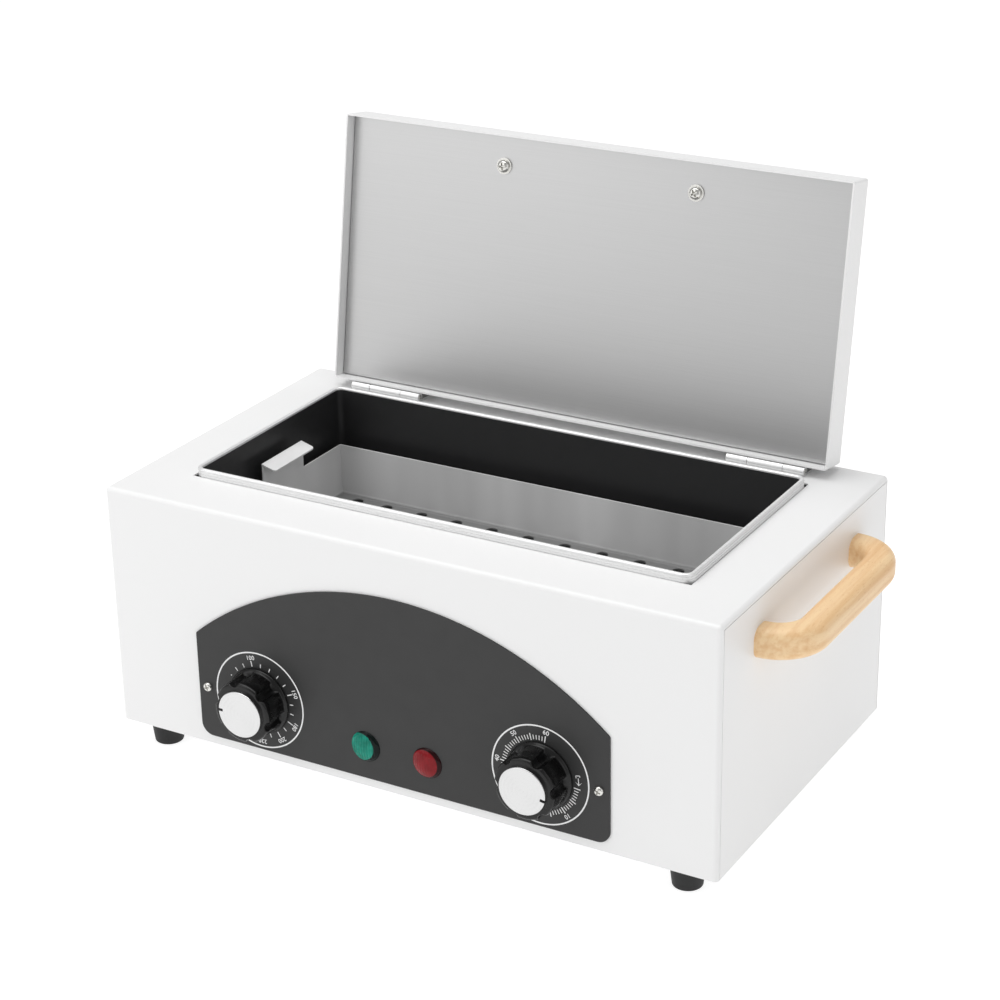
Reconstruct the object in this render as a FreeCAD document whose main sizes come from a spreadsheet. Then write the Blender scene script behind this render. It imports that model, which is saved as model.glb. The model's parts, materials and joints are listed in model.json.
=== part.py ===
import FreeCAD, Part
import math
import os
import re
import Sketcher

# Dry heat sterilizer for a bench: a folded steel casing holds a heated tank under a hinged lid.
# Frame: origin on the bench under the middle of the casing, +X right, +Y back, +Z up, millimetres.
# The lid and its pieces are modelled closed and then swung open about the hinge line.

Vector = FreeCAD.Vector
DOCUMENT = FreeCAD.newDocument("DryHeatSterilizer")

# Driving dimensions: name, value in millimetres or degrees, and what it is

SIZES = (
    # Casing
    ("casing_width", 360, "outside width of the casing"),
    ("casing_depth", 206, "outside depth of the casing"),
    ("casing_height", 138, "outside height of the casing without its feet"),
    ("casing_sheet", 1, "steel sheet of the casing"),
    ("casing_bend", 2.5, "outside radius of the casing bends"),
    ("return_depth", 24, "lips folded in under the front and rear walls"),
    ("panel_seam", 0.4, "visible seam round a side panel"),
    ("side_flange", 8, "flange folded round a side panel"),
    ("side_joggle", 2, "lap of the raised face of a side panel on its rim"),
    ("fit_gap", 0.2, "gap left between pieces that are assembled"),
    ("overrun", 5, "how far a cut runs past what it cuts"),
    # Vent slots and fixings of the base
    ("slot_count", 11, "vent slots in the base"),
    ("slot_pitch", 12, "spacing of the vent slots"),
    ("slot_width", 4, "width of a vent slot"),
    ("slot_length", 46, "length of a vent slot"),
    ("base_screw_span", 200, "spacing of the base screws along a lip"),
    ("base_screw_inset", 8, "base screws from the free edge of their lip"),
    # Feet
    ("foot_height", 13, "height of a rubber foot"),
    ("foot_top_radius", 9.4, "radius of a foot at the casing"),
    ("foot_bottom_radius", 7.8, "radius of a foot on the bench"),
    ("foot_round", 1, "rounding of the foot at the bench"),
    ("foot_inset_x", 21.5, "foot centre from the side of the casing"),
    ("foot_inset_y", 12, "foot centre from the front or back of the casing"),
    ("foot_bore_radius", 4.6, "recess for the screw head under a foot"),
    ("foot_floor", 6, "depth of that recess"),
    # Screws
    ("screw_radius", 1.5, "shank radius of the small screws"),
    ("screw_head_radius", 2.7, "head radius of the small screws"),
    ("screw_head_height", 1.9, "head height of the small screws"),
    ("bolt_radius", 2, "shank radius of the large screws"),
    ("bolt_head_radius", 3.6, "head radius of the large screws"),
    ("bolt_head_height", 2.4, "head height of the large screws"),
    ("bolt_nut_radius", 4, "corner radius of a nut on a large screw"),
    ("bolt_nut_height", 3.2, "height of that nut"),
    ("hole_gap", 0.1, "radial play of a screw in its hole"),
    ("cross_width", 0.7, "width of a cross recess in a screw head"),
    ("cross_depth", 1, "depth of that recess"),
    ("cross_share", 0.55, "share of a head's radius that each arm of the cross takes"),
    ("crown_share", 0.72, "share of a head's radius left at its top"),
    ("base_screw_length", 4, "length of a base screw under its head"),
    ("panel_screw_length", 6, "length of a front panel screw under its head"),
    ("inlet_screw_length", 8, "length of an inlet screw under its head"),
    # Rim and tank
    ("rim_side_margin", 33, "raised rim from the sides of the casing"),
    ("rim_front_margin", 35, "raised rim from the front of the casing"),
    ("rim_rear_margin", 31, "raised rim from the back of the casing"),
    ("rim_rise", 4.5, "height of the rim above the casing"),
    ("rim_wide", 2.5, "width of the folded rim"),
    ("rim_sheet", 0.8, "stainless sheet of the rim"),
    ("rim_corner", 6, "plan radius of the rim corners"),
    ("rim_lip", 1.4, "height of the rim's inner leg, down to the tank"),
    ("rim_flange", 8, "flange of the rim under the casing"),
    ("rim_gap", 0.3, "gap between the rim and the opening in the casing"),
    ("rim_round", 1, "rounding of the rim's top"),
    ("bead_drop", 1.6, "line pressed in the rim, below its top"),
    ("bead_height", 0.5, "height of that line"),
    ("bead_depth", 0.25, "depth of that line"),
    ("service_height", 74, "tank's floor above the casing's edge, room for the controls"),
    ("tank_sheet", 0.8, "stainless sheet of the tank"),
    ("tank_bend", 3, "inside radius round the tank's floor"),
    # Heater and insulation
    ("heater_end_margin", 34.5, "mica heater from the ends of the tank"),
    ("heater_side_margin", 22.5, "mica heater from the front and back of the tank"),
    ("heater_thick", 1.5, "thickness of the mica heater"),
    ("clamp_sheet", 1, "plate that presses the heater to the tank"),
    ("stud_inset_x", 20, "clamp studs from the ends of the heater"),
    ("stud_inset_y", 15, "clamp studs from the front and back of the heater"),
    ("stud_length", 9, "length of a clamp stud"),
    ("pocket_gap", 2, "room round what is let into the insulation"),
    ("wool_side", 13, "insulation round the walls of the tank"),
    ("wool_floor", 15, "insulation under the tank"),
    ("wool_drop", 6, "top of the insulation below the rim's flange"),
    ("jacket_sheet", 1, "sheet of the jacket round the insulation"),
    ("jacket_flange", 5, "flange that hangs the jacket"),
    ("cutout_radius", 8, "disc of the thermal cut-out"),
    ("cutout_height", 6, "height of the thermal cut-out"),
    ("cutout_ear", 12, "half length of its fixing strap"),
    ("cutout_inset", 16.5, "thermal cut-out from the right end of the tank"),
    # Bulb of the thermostat and its capillary
    ("bulb_radius", 2.2, "radius of the bulb"),
    ("bulb_inset", 14.5, "bulb from the left end of the tank"),
    ("bulb_front_margin", 21.5, "bulb from the front of the tank"),
    ("bulb_rear_margin", 33.5, "bulb from the back of the tank"),
    ("capillary_radius", 0.9, "radius of the capillary"),
    ("capillary_bend", 6, "bend radius of the capillary"),
    ("capillary_exit", 9, "capillary above the thermostat's shaft"),
    # Front panel
    ("plate_width", 247, "width of the front panel"),
    ("plate_shift", -1.65, "front panel from the middle of the casing"),
    ("plate_low", 5.3, "lower edge of the panel above the casing's edge"),
    ("plate_shoulder", 65.5, "height of the panel's shoulders"),
    ("plate_top_margin", 26.3, "panel's arched top below the casing's top"),
    ("plate_thick", 1, "thickness of the panel"),
    ("plate_corner", 7, "radius of the panel's lower corners"),
    ("plate_shoulder_round", 2, "radius of the panel's shoulders"),
    ("plate_screw_span", 235.4, "spacing of the panel's screws"),
    ("plate_screw_height", 34.6, "height of the panel's screws"),
    # Indicator lamps
    ("lamp_span", 37.2, "spacing of the lamps"),
    ("lamp_height", 24, "height of the lamps"),
    ("lamp_radius", 8.6, "radius of a lens"),
    ("lamp_dome", 3, "how far a lens stands out"),
    ("lamp_round", 2, "rounding of the lens"),
    ("lamp_barrel_radius", 6, "radius of the lamp behind its lens"),
    ("lamp_barrel_length", 27, "length of the lamp behind its lens"),
    # Knobs
    ("knob_span", 169, "spacing of the two knobs"),
    ("knob_height", 34.6, "height of the knobs' axes"),
    ("knob_lift", 0.6, "gap between a knob and the panel"),
    ("knob_skirt_radius", 18.6, "radius of the knob's skirt"),
    ("knob_skirt_edge", 0.8, "thickness of the skirt's edge"),
    ("knob_skirt_height", 2.2, "height of the skirt"),
    ("knob_grip_radius", 17.2, "radius of the lobes at the skirt"),
    ("knob_nose_radius", 15.2, "radius of the lobes at the front"),
    ("knob_nose_round", 0.8, "bevel at the front of the lobes"),
    ("knob_length", 16.9, "front of the black knob from the panel"),
    ("knob_well_radius", 8.6, "recess behind the knob for the nut"),
    ("knob_well_depth", 4.4, "depth of that recess"),
    ("knob_bore_depth", 8, "depth of the shaft's bore past the recess"),
    ("flute_count", 6, "grooves between the lobes"),
    ("flute_radius", 3, "radius of a groove"),
    ("flute_centre", 18, "radius of the circle of grooves"),
    ("temperature_flute_turn", 14, "first groove from the pointer, temperature knob"),
    ("timer_flute_turn", 43, "first groove from the pointer, timer knob"),
    ("cap_radius", 13.05, "radius of the aluminium cap"),
    ("cap_thick", 2, "thickness of the cap"),
    ("cap_round", 0.4, "rounding of the cap's edge"),
    ("notch_width", 1.6, "width of the pointer notch"),
    ("notch_length", 2.6, "length of the pointer notch"),
    ("temperature_pointer", 271.4, "pointer at rest, clockwise from the top"),
    ("timer_pointer", 101, "pointer at rest, clockwise from the top"),
    # Thermostat and timer
    ("thermostat_width", 36, "width of the thermostat"),
    ("thermostat_tall", 36, "height of the thermostat"),
    ("thermostat_depth", 22, "depth of the thermostat"),
    ("timer_width", 46, "width of the timer"),
    ("timer_tall", 37, "height of the timer"),
    ("timer_depth", 30, "depth of the timer"),
    ("control_round", 3, "rounding of the thermostat's and timer's cases"),
    ("blade_width", 6.3, "width of a terminal blade"),
    ("blade_thick", 0.8, "thickness of a terminal blade"),
    ("blade_length", 8, "length of a terminal blade"),
    ("blade_pitch", 14, "spacing of the terminal blades"),
    ("bushing_radius", 5, "threaded bushing round a shaft"),
    ("bushing_length", 5.2, "bushing in front of the wall's inner face"),
    ("shaft_radius", 3, "radius of a shaft"),
    ("shaft_inside", 12, "shaft inside its case"),
    ("shaft_play", 0.05, "radial play of a shaft"),
    ("spindle_nut_radius", 8, "corner radius of a bushing nut"),
    ("spindle_nut_height", 2.5, "height of a bushing nut"),
    # Power inlet
    ("inlet_inset", 62, "middle of the inlet from the right side of the casing"),
    ("inlet_height", 32, "middle of the inlet above the casing's edge"),
    ("inlet_flange_width", 50, "width of the inlet's flange"),
    ("inlet_flange_tall", 34, "height of the inlet's flange"),
    ("inlet_flange_thick", 2.5, "thickness of the inlet's flange"),
    ("inlet_flange_round", 4, "corner radius of that flange"),
    ("inlet_body_width", 28, "width of the inlet behind its flange"),
    ("inlet_body_tall", 31, "height of the inlet behind its flange"),
    ("inlet_body_depth", 32, "depth of the inlet behind the outer face"),
    ("inlet_screw_span", 40, "spacing of the inlet's screws"),
    ("socket_width", 24, "width of the inlet's socket"),
    ("socket_tall", 16.4, "height of the inlet's socket"),
    ("socket_depth", 18, "depth of the inlet's socket"),
    ("socket_bevel", 4.5, "bevel of the socket's two lower corners"),
    ("socket_wall", 1.8, "wall below the socket and above the drawer"),
    ("contact_width", 4, "width of a contact"),
    ("contact_thick", 2, "thickness of a contact"),
    ("contact_pitch", 7, "side contacts from the middle"),
    ("contact_drop", 3.5, "middle contact from the side ones"),
    ("contact_set_back", 3, "tips of the contacts inside the socket's mouth"),
    ("contact_tail", 8, "contacts behind the inlet"),
    ("drawer_width", 14, "width of the fuse drawer"),
    ("drawer_tall", 7.4, "height of the fuse drawer"),
    ("drawer_depth", 27, "depth of the fuse drawer"),
    ("drawer_grip", 1.5, "how far the drawer's front stands out"),
    ("drawer_gap", 0.3, "gap round the fuse drawer"),
    ("fuse_radius", 2.5, "radius of the fuse"),
    ("fuse_length", 20, "length of the fuse"),
    ("fuse_cap_length", 5, "length of a fuse's end cap"),
    ("fuse_gap", 0.1, "gap round the fuse"),
    # Terminal block and earth stud on the base
    ("block_length", 60, "length of the terminal block"),
    ("block_width", 22, "width of the terminal block"),
    ("block_tall", 17, "height of the terminal block"),
    ("block_inset", 35, "middle of the terminal block from the back of the casing"),
    ("well_radius", 2.8, "screw wells of the terminal block"),
    ("well_depth", 7, "depth of the screw wells"),
    ("well_count", 5, "screw wells in the terminal block"),
    ("well_pitch", 11, "spacing of the screw wells"),
    ("earth_inset", 30, "earth stud from the right side of the casing"),
    ("earth_y", 20, "earth stud behind the middle"),
    ("earth_length", 14, "earth stud above the base"),
    # Lid
    ("lid_side_lap", 6.9, "lid past the rim at its sides"),
    ("lid_front_lap", 6.5, "lid past the rim in front"),
    ("lid_height", 19.7, "outside height of the lid"),
    ("lid_sheet", 1, "steel sheet of the lid"),
    ("lid_bend", 1.5, "outside radius of the lid bends"),
    ("lid_lift", 1.4, "gap under the closed lid's skirt"),
    ("lid_back_gap", 6, "lid's back behind the rim"),
    ("lid_seat", 3.8, "gap between the closed liner and the rim"),
    ("lid_open", 99, "opening angle of the lid"),
    ("liner_margin", 0.3, "gap between the liner and the skirt"),
    ("liner_sheet", 0.8, "stainless sheet of the liner"),
    ("liner_lip", 3.5, "lip folded up round the liner"),
    ("wool_margin", 3, "lid insulation inside the liner's lip"),
    ("lid_bolt_inset", 18.1, "lid handle screws from the lid's front"),
    ("lid_bolt_shift", 4.6, "lid handle to the right of the middle"),
    ("washer_radius", 4.6, "radius of a washer"),
    ("washer_thick", 0.8, "thickness of a washer"),
    # Hinges
    ("hinge_inset", 28, "middle of a hinge from the side of the rim"),
    ("hinge_length", 45, "length of a hinge"),
    ("hinge_rise", 2.8, "hinge line above the casing"),
    ("hinge_gap", 0.3, "clearance round a knuckle"),
    ("knuckle_radius", 2.4, "radius of a knuckle"),
    ("knuckle_length", 12, "length of an outer knuckle"),
    ("leaf_thick", 1, "thickness of a hinge leaf"),
    ("leaf_reach", 17, "free edge of a leaf from the hinge line"),
    ("pin_radius", 1.2, "radius of the hinge pin"),
    ("pin_play", 0.05, "radial play of the hinge pin"),
    ("pin_proud", 0.3, "pin past the end knuckles"),
    ("rivet_radius", 1.5, "radius of a rivet"),
    ("rivet_head_radius", 2.6, "radius of a rivet's head"),
    ("rivet_tail", 1.2, "height of a rivet's closed end"),
    ("rivet_reach", 13, "rivets from the hinge line"),
    ("rivet_span", 28, "spacing of a leaf's rivets"),
    # Wooden bow handles
    ("bow_span", 116.8, "spacing of a handle's two feet"),
    ("bow_grip", 16.5, "thickness of a handle"),
    ("bow_round", 6, "rounding of a handle's edges"),
    ("bow_rise", 28, "how far a handle stands out"),
    ("bow_bend", 19, "bend radius of a handle's middle line"),
    ("bow_hole_depth", 15, "screw holes in a handle's feet"),
    ("side_bow_drop", 25.5, "side handles below the casing's top"),
    # Tray
    ("tray_side_room", 5.7, "room between the tray and the ends of the tank"),
    ("tray_front_room", 9.2, "room between the tray and the front of the tank"),
    ("tray_rear_room", 9.7, "room between the tray and the back of the tank"),
    ("tray_drop", 30.9, "top of the tray's walls below the rim's top"),
    ("tray_sheet", 0.8, "steel sheet of the tray"),
    ("tray_bend", 3, "outside radius round the tray's floor"),
    ("tray_lift", 6.2, "tray's floor above the tank's"),
    ("tray_rest_gap", 0.2, "running gap under the tray's pressed feet"),
    ("dimple_radius", 6, "radius of a pressed foot of the tray"),
    ("dimple_inset", 22, "pressed feet from the tray's walls"),
    ("tray_hole_radius", 3.5, "radius of the tray's holes"),
    ("tray_hole_pitch", 23.2, "spacing of the tray's holes"),
    ("tray_hole_inset", 5.5, "row of holes from the long wall"),
    ("tray_hole_pairs", 5, "evenly spaced holes of a row on each side of the middle"),
    ("tray_hole_end", 13.8, "outermost holes from the end walls"),
    ("tab_width", 39, "length of a lifting tab"),
    ("tab_rise", 16, "height of a lifting tab"),
    ("tab_flange", 8, "finger flange of a lifting tab"),
    ("tab_drop", 2.5, "how far the finger flange slopes down"),
    ("tab_corner", 2, "corner radius of the finger flange"),
)

# Places that follow from the driving dimensions

PLACES = (
    ("half_width", "casing_width / 2"),
    ("half_depth", "casing_depth / 2"),
    ("casing_bottom", "foot_height"),
    ("casing_top", "foot_height + casing_height"),
    ("ceiling", "casing_top - casing_sheet"),
    ("wall_inside", "half_depth - casing_sheet"),
    ("base_under", "casing_bottom + casing_sheet"),
    ("base_top", "base_under + casing_sheet"),
    ("foot_x", "half_width - foot_inset_x"),
    ("foot_y", "half_depth - foot_inset_y"),
    ("base_screw_y", "half_depth - return_depth + base_screw_inset"),
    ("pan_face", "half_width - casing_sheet - fit_gap / 2"),
    ("pan_in", "pan_face - side_flange"),
    ("rim_half", "half_width - rim_side_margin"),
    ("rim_front", "-half_depth + rim_front_margin"),
    ("rim_back", "half_depth - rim_rear_margin"),
    ("chamber_y", "(rim_front + rim_back) / 2"),
    ("rim_top", "casing_top + rim_rise"),
    ("rim_foot", "ceiling - rim_sheet"),
    ("tank_half", "rim_half - rim_wide"),
    ("tank_front", "rim_front + rim_wide"),
    ("tank_back", "rim_back - rim_wide"),
    ("tank_corner", "rim_corner - rim_wide"),
    ("tank_mouth", "rim_top - rim_lip"),
    ("tank_floor", "casing_bottom + service_height"),
    ("tank_under", "tank_floor - tank_sheet"),
    ("heater_half_x", "tank_half - heater_end_margin"),
    ("heater_half_y", "(tank_back - tank_front) / 2 - heater_side_margin"),
    ("stud_x", "heater_half_x - stud_inset_x"),
    ("stud_y", "heater_half_y - stud_inset_y"),
    ("cutout_x", "tank_half - cutout_inset"),
    ("bulb_x", "tank_half - bulb_inset"),
    ("bulb_front", "tank_front + bulb_front_margin"),
    ("bulb_back", "tank_back - bulb_rear_margin"),
    ("clamp_under", "tank_under - heater_thick - clamp_sheet"),
    ("jacket_floor", "clamp_under - wool_floor"),
    ("jacket_half", "tank_half + tank_sheet + wool_side"),
    ("jacket_front", "tank_front - tank_sheet - wool_side"),
    ("jacket_back", "tank_back + tank_sheet + wool_side"),
    ("plate_face", "-half_depth - plate_thick"),
    ("plate_left", "plate_shift - plate_width / 2"),
    ("plate_right", "plate_shift + plate_width / 2"),
    ("plate_top", "casing_top - plate_top_margin"),
    ("shoulder_z", "casing_bottom + plate_shoulder"),
    ("arch_rise", "plate_top - shoulder_z"),
    ("arch_radius", "(plate_width ^ 2 / 4 + arch_rise ^ 2) / (2 * arch_rise)"),
    ("knob_z", "casing_bottom + knob_height"),
    ("temperature_x", "plate_shift - knob_span / 2"),
    ("timer_x", "plate_shift + knob_span / 2"),
    ("lamp_z", "casing_bottom + lamp_height"),
    ("plate_screw_z", "casing_bottom + plate_screw_height"),
    ("inlet_x", "half_width - inlet_inset"),
    ("inlet_z", "casing_bottom + inlet_height"),
    ("inlet_face", "half_depth + inlet_flange_thick"),
    ("socket_low", "inlet_z - inlet_body_tall / 2 + socket_wall"),
    ("socket_high", "socket_low + socket_tall"),
    ("contact_z", "socket_low + socket_tall / 2"),
    ("drawer_high", "inlet_z + inlet_body_tall / 2 - socket_wall"),
    ("drawer_low", "drawer_high - drawer_tall"),
    ("drawer_back", "inlet_face - drawer_depth"),
    ("fuse_z", "drawer_high - fuse_radius - fuse_gap"),
    ("block_y", "half_depth - block_inset"),
    ("earth_x", "half_width - earth_inset"),
    ("lid_half", "rim_half + lid_side_lap"),
    ("lid_back", "rim_back + lid_back_gap"),
    ("lid_front", "rim_front - lid_front_lap"),
    ("lid_skirt", "casing_top + lid_lift"),
    ("lid_top", "lid_skirt + lid_height"),
    ("liner_face", "rim_top + lid_seat"),
    ("liner_half", "lid_half - lid_sheet - liner_margin"),
    ("liner_front", "lid_front + lid_sheet + liner_margin"),
    ("liner_back", "lid_back - lid_sheet - liner_margin"),
    ("lid_bolt_y", "lid_front + lid_bolt_inset"),
    ("hinge_x", "rim_half - hinge_inset"),
    ("hinge_y", "lid_back + knuckle_radius + hinge_gap"),
    ("hinge_z", "casing_top + hinge_rise"),
    ("side_bow_z", "casing_top - side_bow_drop"),
    ("tray_half", "tank_half - tray_side_room"),
    ("tray_front", "tank_front + tray_front_room"),
    ("tray_back", "tank_back - tray_rear_room"),
    ("tray_y", "(tray_front + tray_back) / 2"),
    ("tray_under", "tank_floor + tray_lift"),
    ("tray_floor", "tray_under + tray_sheet"),
    ("tray_top", "rim_top - tray_drop"),
)

SIZE_NAMES = {name for name, value, note in SIZES}
PLACE_NAMES = {name for name, text in PLACES}
TURNS = {
    "x": FreeCAD.Rotation(Vector(0, 1, 0), 90),
    "y": FreeCAD.Rotation(Vector(1, 0, 0), -90),
    "z": FreeCAD.Rotation(),
}
PARTS = {}


def formula(text):
    """Point each name in a formula at its cell or its place."""

    def address(match):
        name = match.group(0)
        if name in SIZE_NAMES:
            return "Sizes." + name
        if name in PLACE_NAMES:
            return "Places." + name
        return name

    return re.sub(r"[a-z][a-z_]*", address, text)


def fill_sheet():
    """Write the driving dimensions in a spreadsheet."""
    sheet = DOCUMENT.addObject("Spreadsheet::Sheet", "Sizes")
    for row, (name, value, note) in enumerate(SIZES, start=1):
        sheet.set("A%d" % row, name)
        sheet.set("B%d" % row, str(value))
        sheet.set("C%d" % row, note)
        sheet.setAlias("B%d" % row, name)
    DOCUMENT.recompute()


def fill_places():
    """Bind the places that follow from the sheet."""
    places = DOCUMENT.addObject("App::VarSet", "Places")
    for name, text in PLACES:
        places.addProperty("App::PropertyFloat", name)
        places.setExpression(name, formula(text))
    DOCUMENT.recompute()


fill_sheet()
fill_places()
GAUGE = DOCUMENT.addObject("App::VarSet", "Gauge")
GAUGE.addProperty("App::PropertyFloat", "reading")


def reading(text):
    """The value of a formula now."""
    GAUGE.setExpression("reading", formula(text))
    GAUGE.recompute()
    return GAUGE.reading


def keep(thing, label):
    """Name a finished sub-part."""
    thing.Label = label
    PARTS[label] = thing
    return thing


# Solids from primitives and booleans


def bind(thing, prop, text):
    """Bind one property to a formula."""
    thing.setExpression(prop, formula(text))


def block(name, x, y, z):
    """A box between pairs of formulas in x, y and z."""
    box = DOCUMENT.addObject("Part::Box", name)
    for prop, axis, (low, high) in zip(("Length", "Width", "Height"), "xyz", (x, y, z)):
        bind(box, prop, "(%s) - (%s)" % (high, low))
        bind(box, "Placement.Base." + axis, low)
    return box


def aim(thing, axis, start, centre):
    """Turn a thing made along +Z to an axis and bind its place."""
    thing.Placement = FreeCAD.Placement(Vector(), TURNS[axis])
    across = [name for name in "xyz" if name != axis]
    bind(thing, "Placement.Base." + axis, start)
    for name, text in zip(across, centre):
        bind(thing, "Placement.Base." + name, text)
    return thing


def rod(name, axis, radius, start, end, centre):
    """A cylinder along an axis, its centre given in the other two axes."""
    cylinder = DOCUMENT.addObject("Part::Cylinder", name)
    bind(cylinder, "Radius", radius)
    bind(cylinder, "Height", "(%s) - (%s)" % (end, start))
    return aim(cylinder, axis, start, centre)


def taper(name, axis, radii, start, end, centre):
    """A cone between two radii along an axis."""
    cone = DOCUMENT.addObject("Part::Cone", name)
    bind(cone, "Radius1", radii[0])
    bind(cone, "Radius2", radii[1])
    bind(cone, "Height", "(%s) - (%s)" % (end, start))
    return aim(cone, axis, start, centre)


def nut(name, axis, radius, start, end, centre, bore):
    """A hexagon nut along an axis."""
    prism = DOCUMENT.addObject("Part::Prism", name + "_hexagon")
    prism.Polygon = 6
    bind(prism, "Circumradius", radius)
    bind(prism, "Height", "(%s) - (%s)" % (end, start))
    aim(prism, axis, start, centre)
    hole = rod(name + "_hole", axis, bore, start + " - overrun", end + " + overrun", centre)
    return cut(name, prism, [hole])


def fuse(name, pieces):
    """Join solids into one."""
    joined = DOCUMENT.addObject("Part::MultiFuse", name)
    joined.Shapes = pieces
    joined.Refine = True
    return joined


def cut(name, base, tools):
    """Cut tools from a solid."""
    removed = DOCUMENT.addObject("Part::Cut", name)
    removed.Base = base
    removed.Tool = tools[0] if len(tools) == 1 else fuse(name + "_tools", tools)
    return removed


def group(label, pieces):
    """Like pieces that share one node."""
    compound = DOCUMENT.addObject("Part::Compound", label)
    compound.Links = pieces
    return keep(compound, label)


def pan_screw(name, kind, axis, side, seat, length, centre):
    """A pan head screw: its head lies on the given side (1 or -1) of its seat."""
    radius, head_radius, head_height = kind + "_radius", kind + "_head_radius", kind + "_head_height"
    if side > 0:
        shank_ends = ("%s - (%s)" % (seat, length), seat)
        head_ends = (seat, "%s + %s" % (seat, head_height))
        top = "%s + %s" % (seat, head_height)
        recess = (top + " - cross_depth", top + " + overrun")
        radii = (head_radius, head_radius + " * crown_share")
    else:
        shank_ends = (seat, "%s + %s" % (seat, length))
        head_ends = ("%s - %s" % (seat, head_height), seat)
        top = "%s - %s" % (seat, head_height)
        recess = (top + " - overrun", top + " + cross_depth")
        radii = (head_radius + " * crown_share", head_radius)
    shank = rod(name + "_shank", axis, radius, *shank_ends, centre)
    head = taper(name + "_head", axis, radii, *head_ends, centre)
    bars = []
    half_long = head_radius + " * cross_share"
    for number, halves in enumerate(((half_long, "cross_width / 2"), ("cross_width / 2", half_long))):
        spans = {axis: recess}
        across = [other for other in "xyz" if other != axis]
        for other, middle, half in zip(across, centre, halves):
            spans[other] = ("%s - %s" % (middle, half), "%s + %s" % (middle, half))
        bars.append(block("%s_bar_%d" % (name, number), spans["x"], spans["y"], spans["z"]))
    return cut(name, fuse(name + "_blank", [shank, head]), bars)


# Solids from sketches in bodies


def origin_part(body, role):
    """A plane or an axis of a body's own origin."""
    return next(item for item in body.Origin.OriginFeatures if item.Role == role)


def new_body(label):
    """A body whose label names its part."""
    return keep(DOCUMENT.addObject("PartDesign::Body", label), label)


def sketch_on(body, name, plane, level):
    """A sketch on a plane of the body: XY at a height, XZ at a depth or YZ at a width."""
    sketch = body.newObject("Sketcher::SketchObject", name)
    sketch.AttachmentSupport = [(origin_part(body, plane + "_Plane"), "")]
    sketch.MapMode = "FlatFace"
    sign = "-" if plane == "XZ" else ""
    bind(sketch, "AttachmentOffset.Base.z", "%s(%s)" % (sign, level))
    return sketch


def fix(sketch, kind, where, text):
    """Add one size to a sketch and bind it."""
    index = sketch.addConstraint(Sketcher.Constraint(kind, *where, reading(text)))
    bind(sketch, "Constraints[%d]" % index, text)


def pin_point(sketch, edge, end, point):
    """Bind an end of an edge to a point from the sketch's origin."""
    fix(sketch, "DistanceX", (-1, 1, edge, end), point[0])
    fix(sketch, "DistanceY", (-1, 1, edge, end), point[1])


def spot(point):
    """A sketch point from two formulas."""
    return Vector(reading(point[0]), reading(point[1]), 0)


def polygon(sketch, points):
    """A closed outline of straight lines."""
    first = sketch.GeometryCount
    count = len(points)
    spots = [spot(point) for point in points]
    for index in range(count):
        sketch.addGeometry(Part.LineSegment(spots[index], spots[(index + 1) % count]))
    for index in range(count):
        following = first + (index + 1) % count
        sketch.addConstraint(Sketcher.Constraint("Coincident", first + index, 2, following, 1))
    for index, point in enumerate(points):
        pin_point(sketch, first + index, 1, point)
    return sketch


def rectangle(sketch, wide, tall):
    """A rectangle between two pairs of formulas."""
    return polygon(
        sketch,
        ((wide[0], tall[0]), (wide[1], tall[0]), (wide[1], tall[1]), (wide[0], tall[1])),
    )


def circle(sketch, centre, radius):
    """A circle about a point."""
    index = sketch.addGeometry(Part.Circle(spot(centre), Vector(0, 0, 1), reading(radius)))
    fix(sketch, "Radius", (index,), radius)
    pin_point(sketch, index, 3, centre)
    return sketch


def feature(body, kind, name, **settings):
    """Add a feature at the body's tip."""
    item = body.newObject("PartDesign::" + kind, name)
    for prop, value in settings.items():
        setattr(item, prop, value)
    return item


def settle(body, item):
    """Make a feature the body's tip and build it."""
    body.Tip = item
    DOCUMENT.recompute()
    return item


def pad(body, sketch, length, reverse=False):
    """Raise a sketch along its normal, or against it."""
    item = feature(body, "Pad", sketch.Name + "_pad", Profile=sketch, Reversed=reverse)
    bind(item, "Length", length)
    return settle(body, item)


def pocket(body, sketch, depth, reverse=False):
    """Cut a sketch against its normal, or along it, and test that it cuts."""
    before = body.Tip.Shape.Volume
    item = feature(body, "Pocket", sketch.Name + "_cut", Profile=sketch, Reversed=reverse)
    bind(item, "Length", depth)
    settle(body, item)
    if not item.Shape.Volume < before:
        raise RuntimeError("%s cuts nothing" % item.Name)
    return item


def revolve(body, sketch):
    """Turn a sketch about the body's Z axis."""
    item = feature(body, "Revolution", sketch.Name + "_turned", Profile=sketch)
    item.ReferenceAxis = (origin_part(body, "Z_Axis"), [""])
    item.Angle = 360
    return settle(body, item)


def round_edges(body, radius, wanted):
    """Round the edges of the tip that a test picks."""
    base = body.Tip
    names = ["Edge%d" % (i + 1) for i, edge in enumerate(base.Shape.Edges) if wanted(edge)]
    if not names:
        raise RuntimeError("%s has no edge to round" % base.Name)
    item = feature(body, "Fillet", base.Name + "_round", Base=(base, names))
    bind(item, "Radius", radius)
    settle(body, item)
    if item.Shape.isNull():
        raise RuntimeError("%s can't be rounded" % base.Name)
    return item


def same(first, second):
    """Whether two coordinates agree."""
    return math.isclose(first, second, rel_tol=1e-6, abs_tol=1e-6 * reading("casing_sheet"))


def lies_at(edge, axis, text):
    """Whether both ends of an edge have a coordinate."""
    value = reading(text)
    return all(same(getattr(vertex.Point, axis), value) for vertex in edge.Vertexes)


def runs_along(edge, axis):
    """Whether an edge is straight and runs along an axis."""
    ends = [vertex.Point for vertex in edge.Vertexes]
    if len(ends) != 2 or not isinstance(edge.Curve, Part.Line):
        return False
    others = [name for name in "xyz" if name != axis]
    return all(same(getattr(ends[0], name), getattr(ends[1], name)) for name in others)


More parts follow.
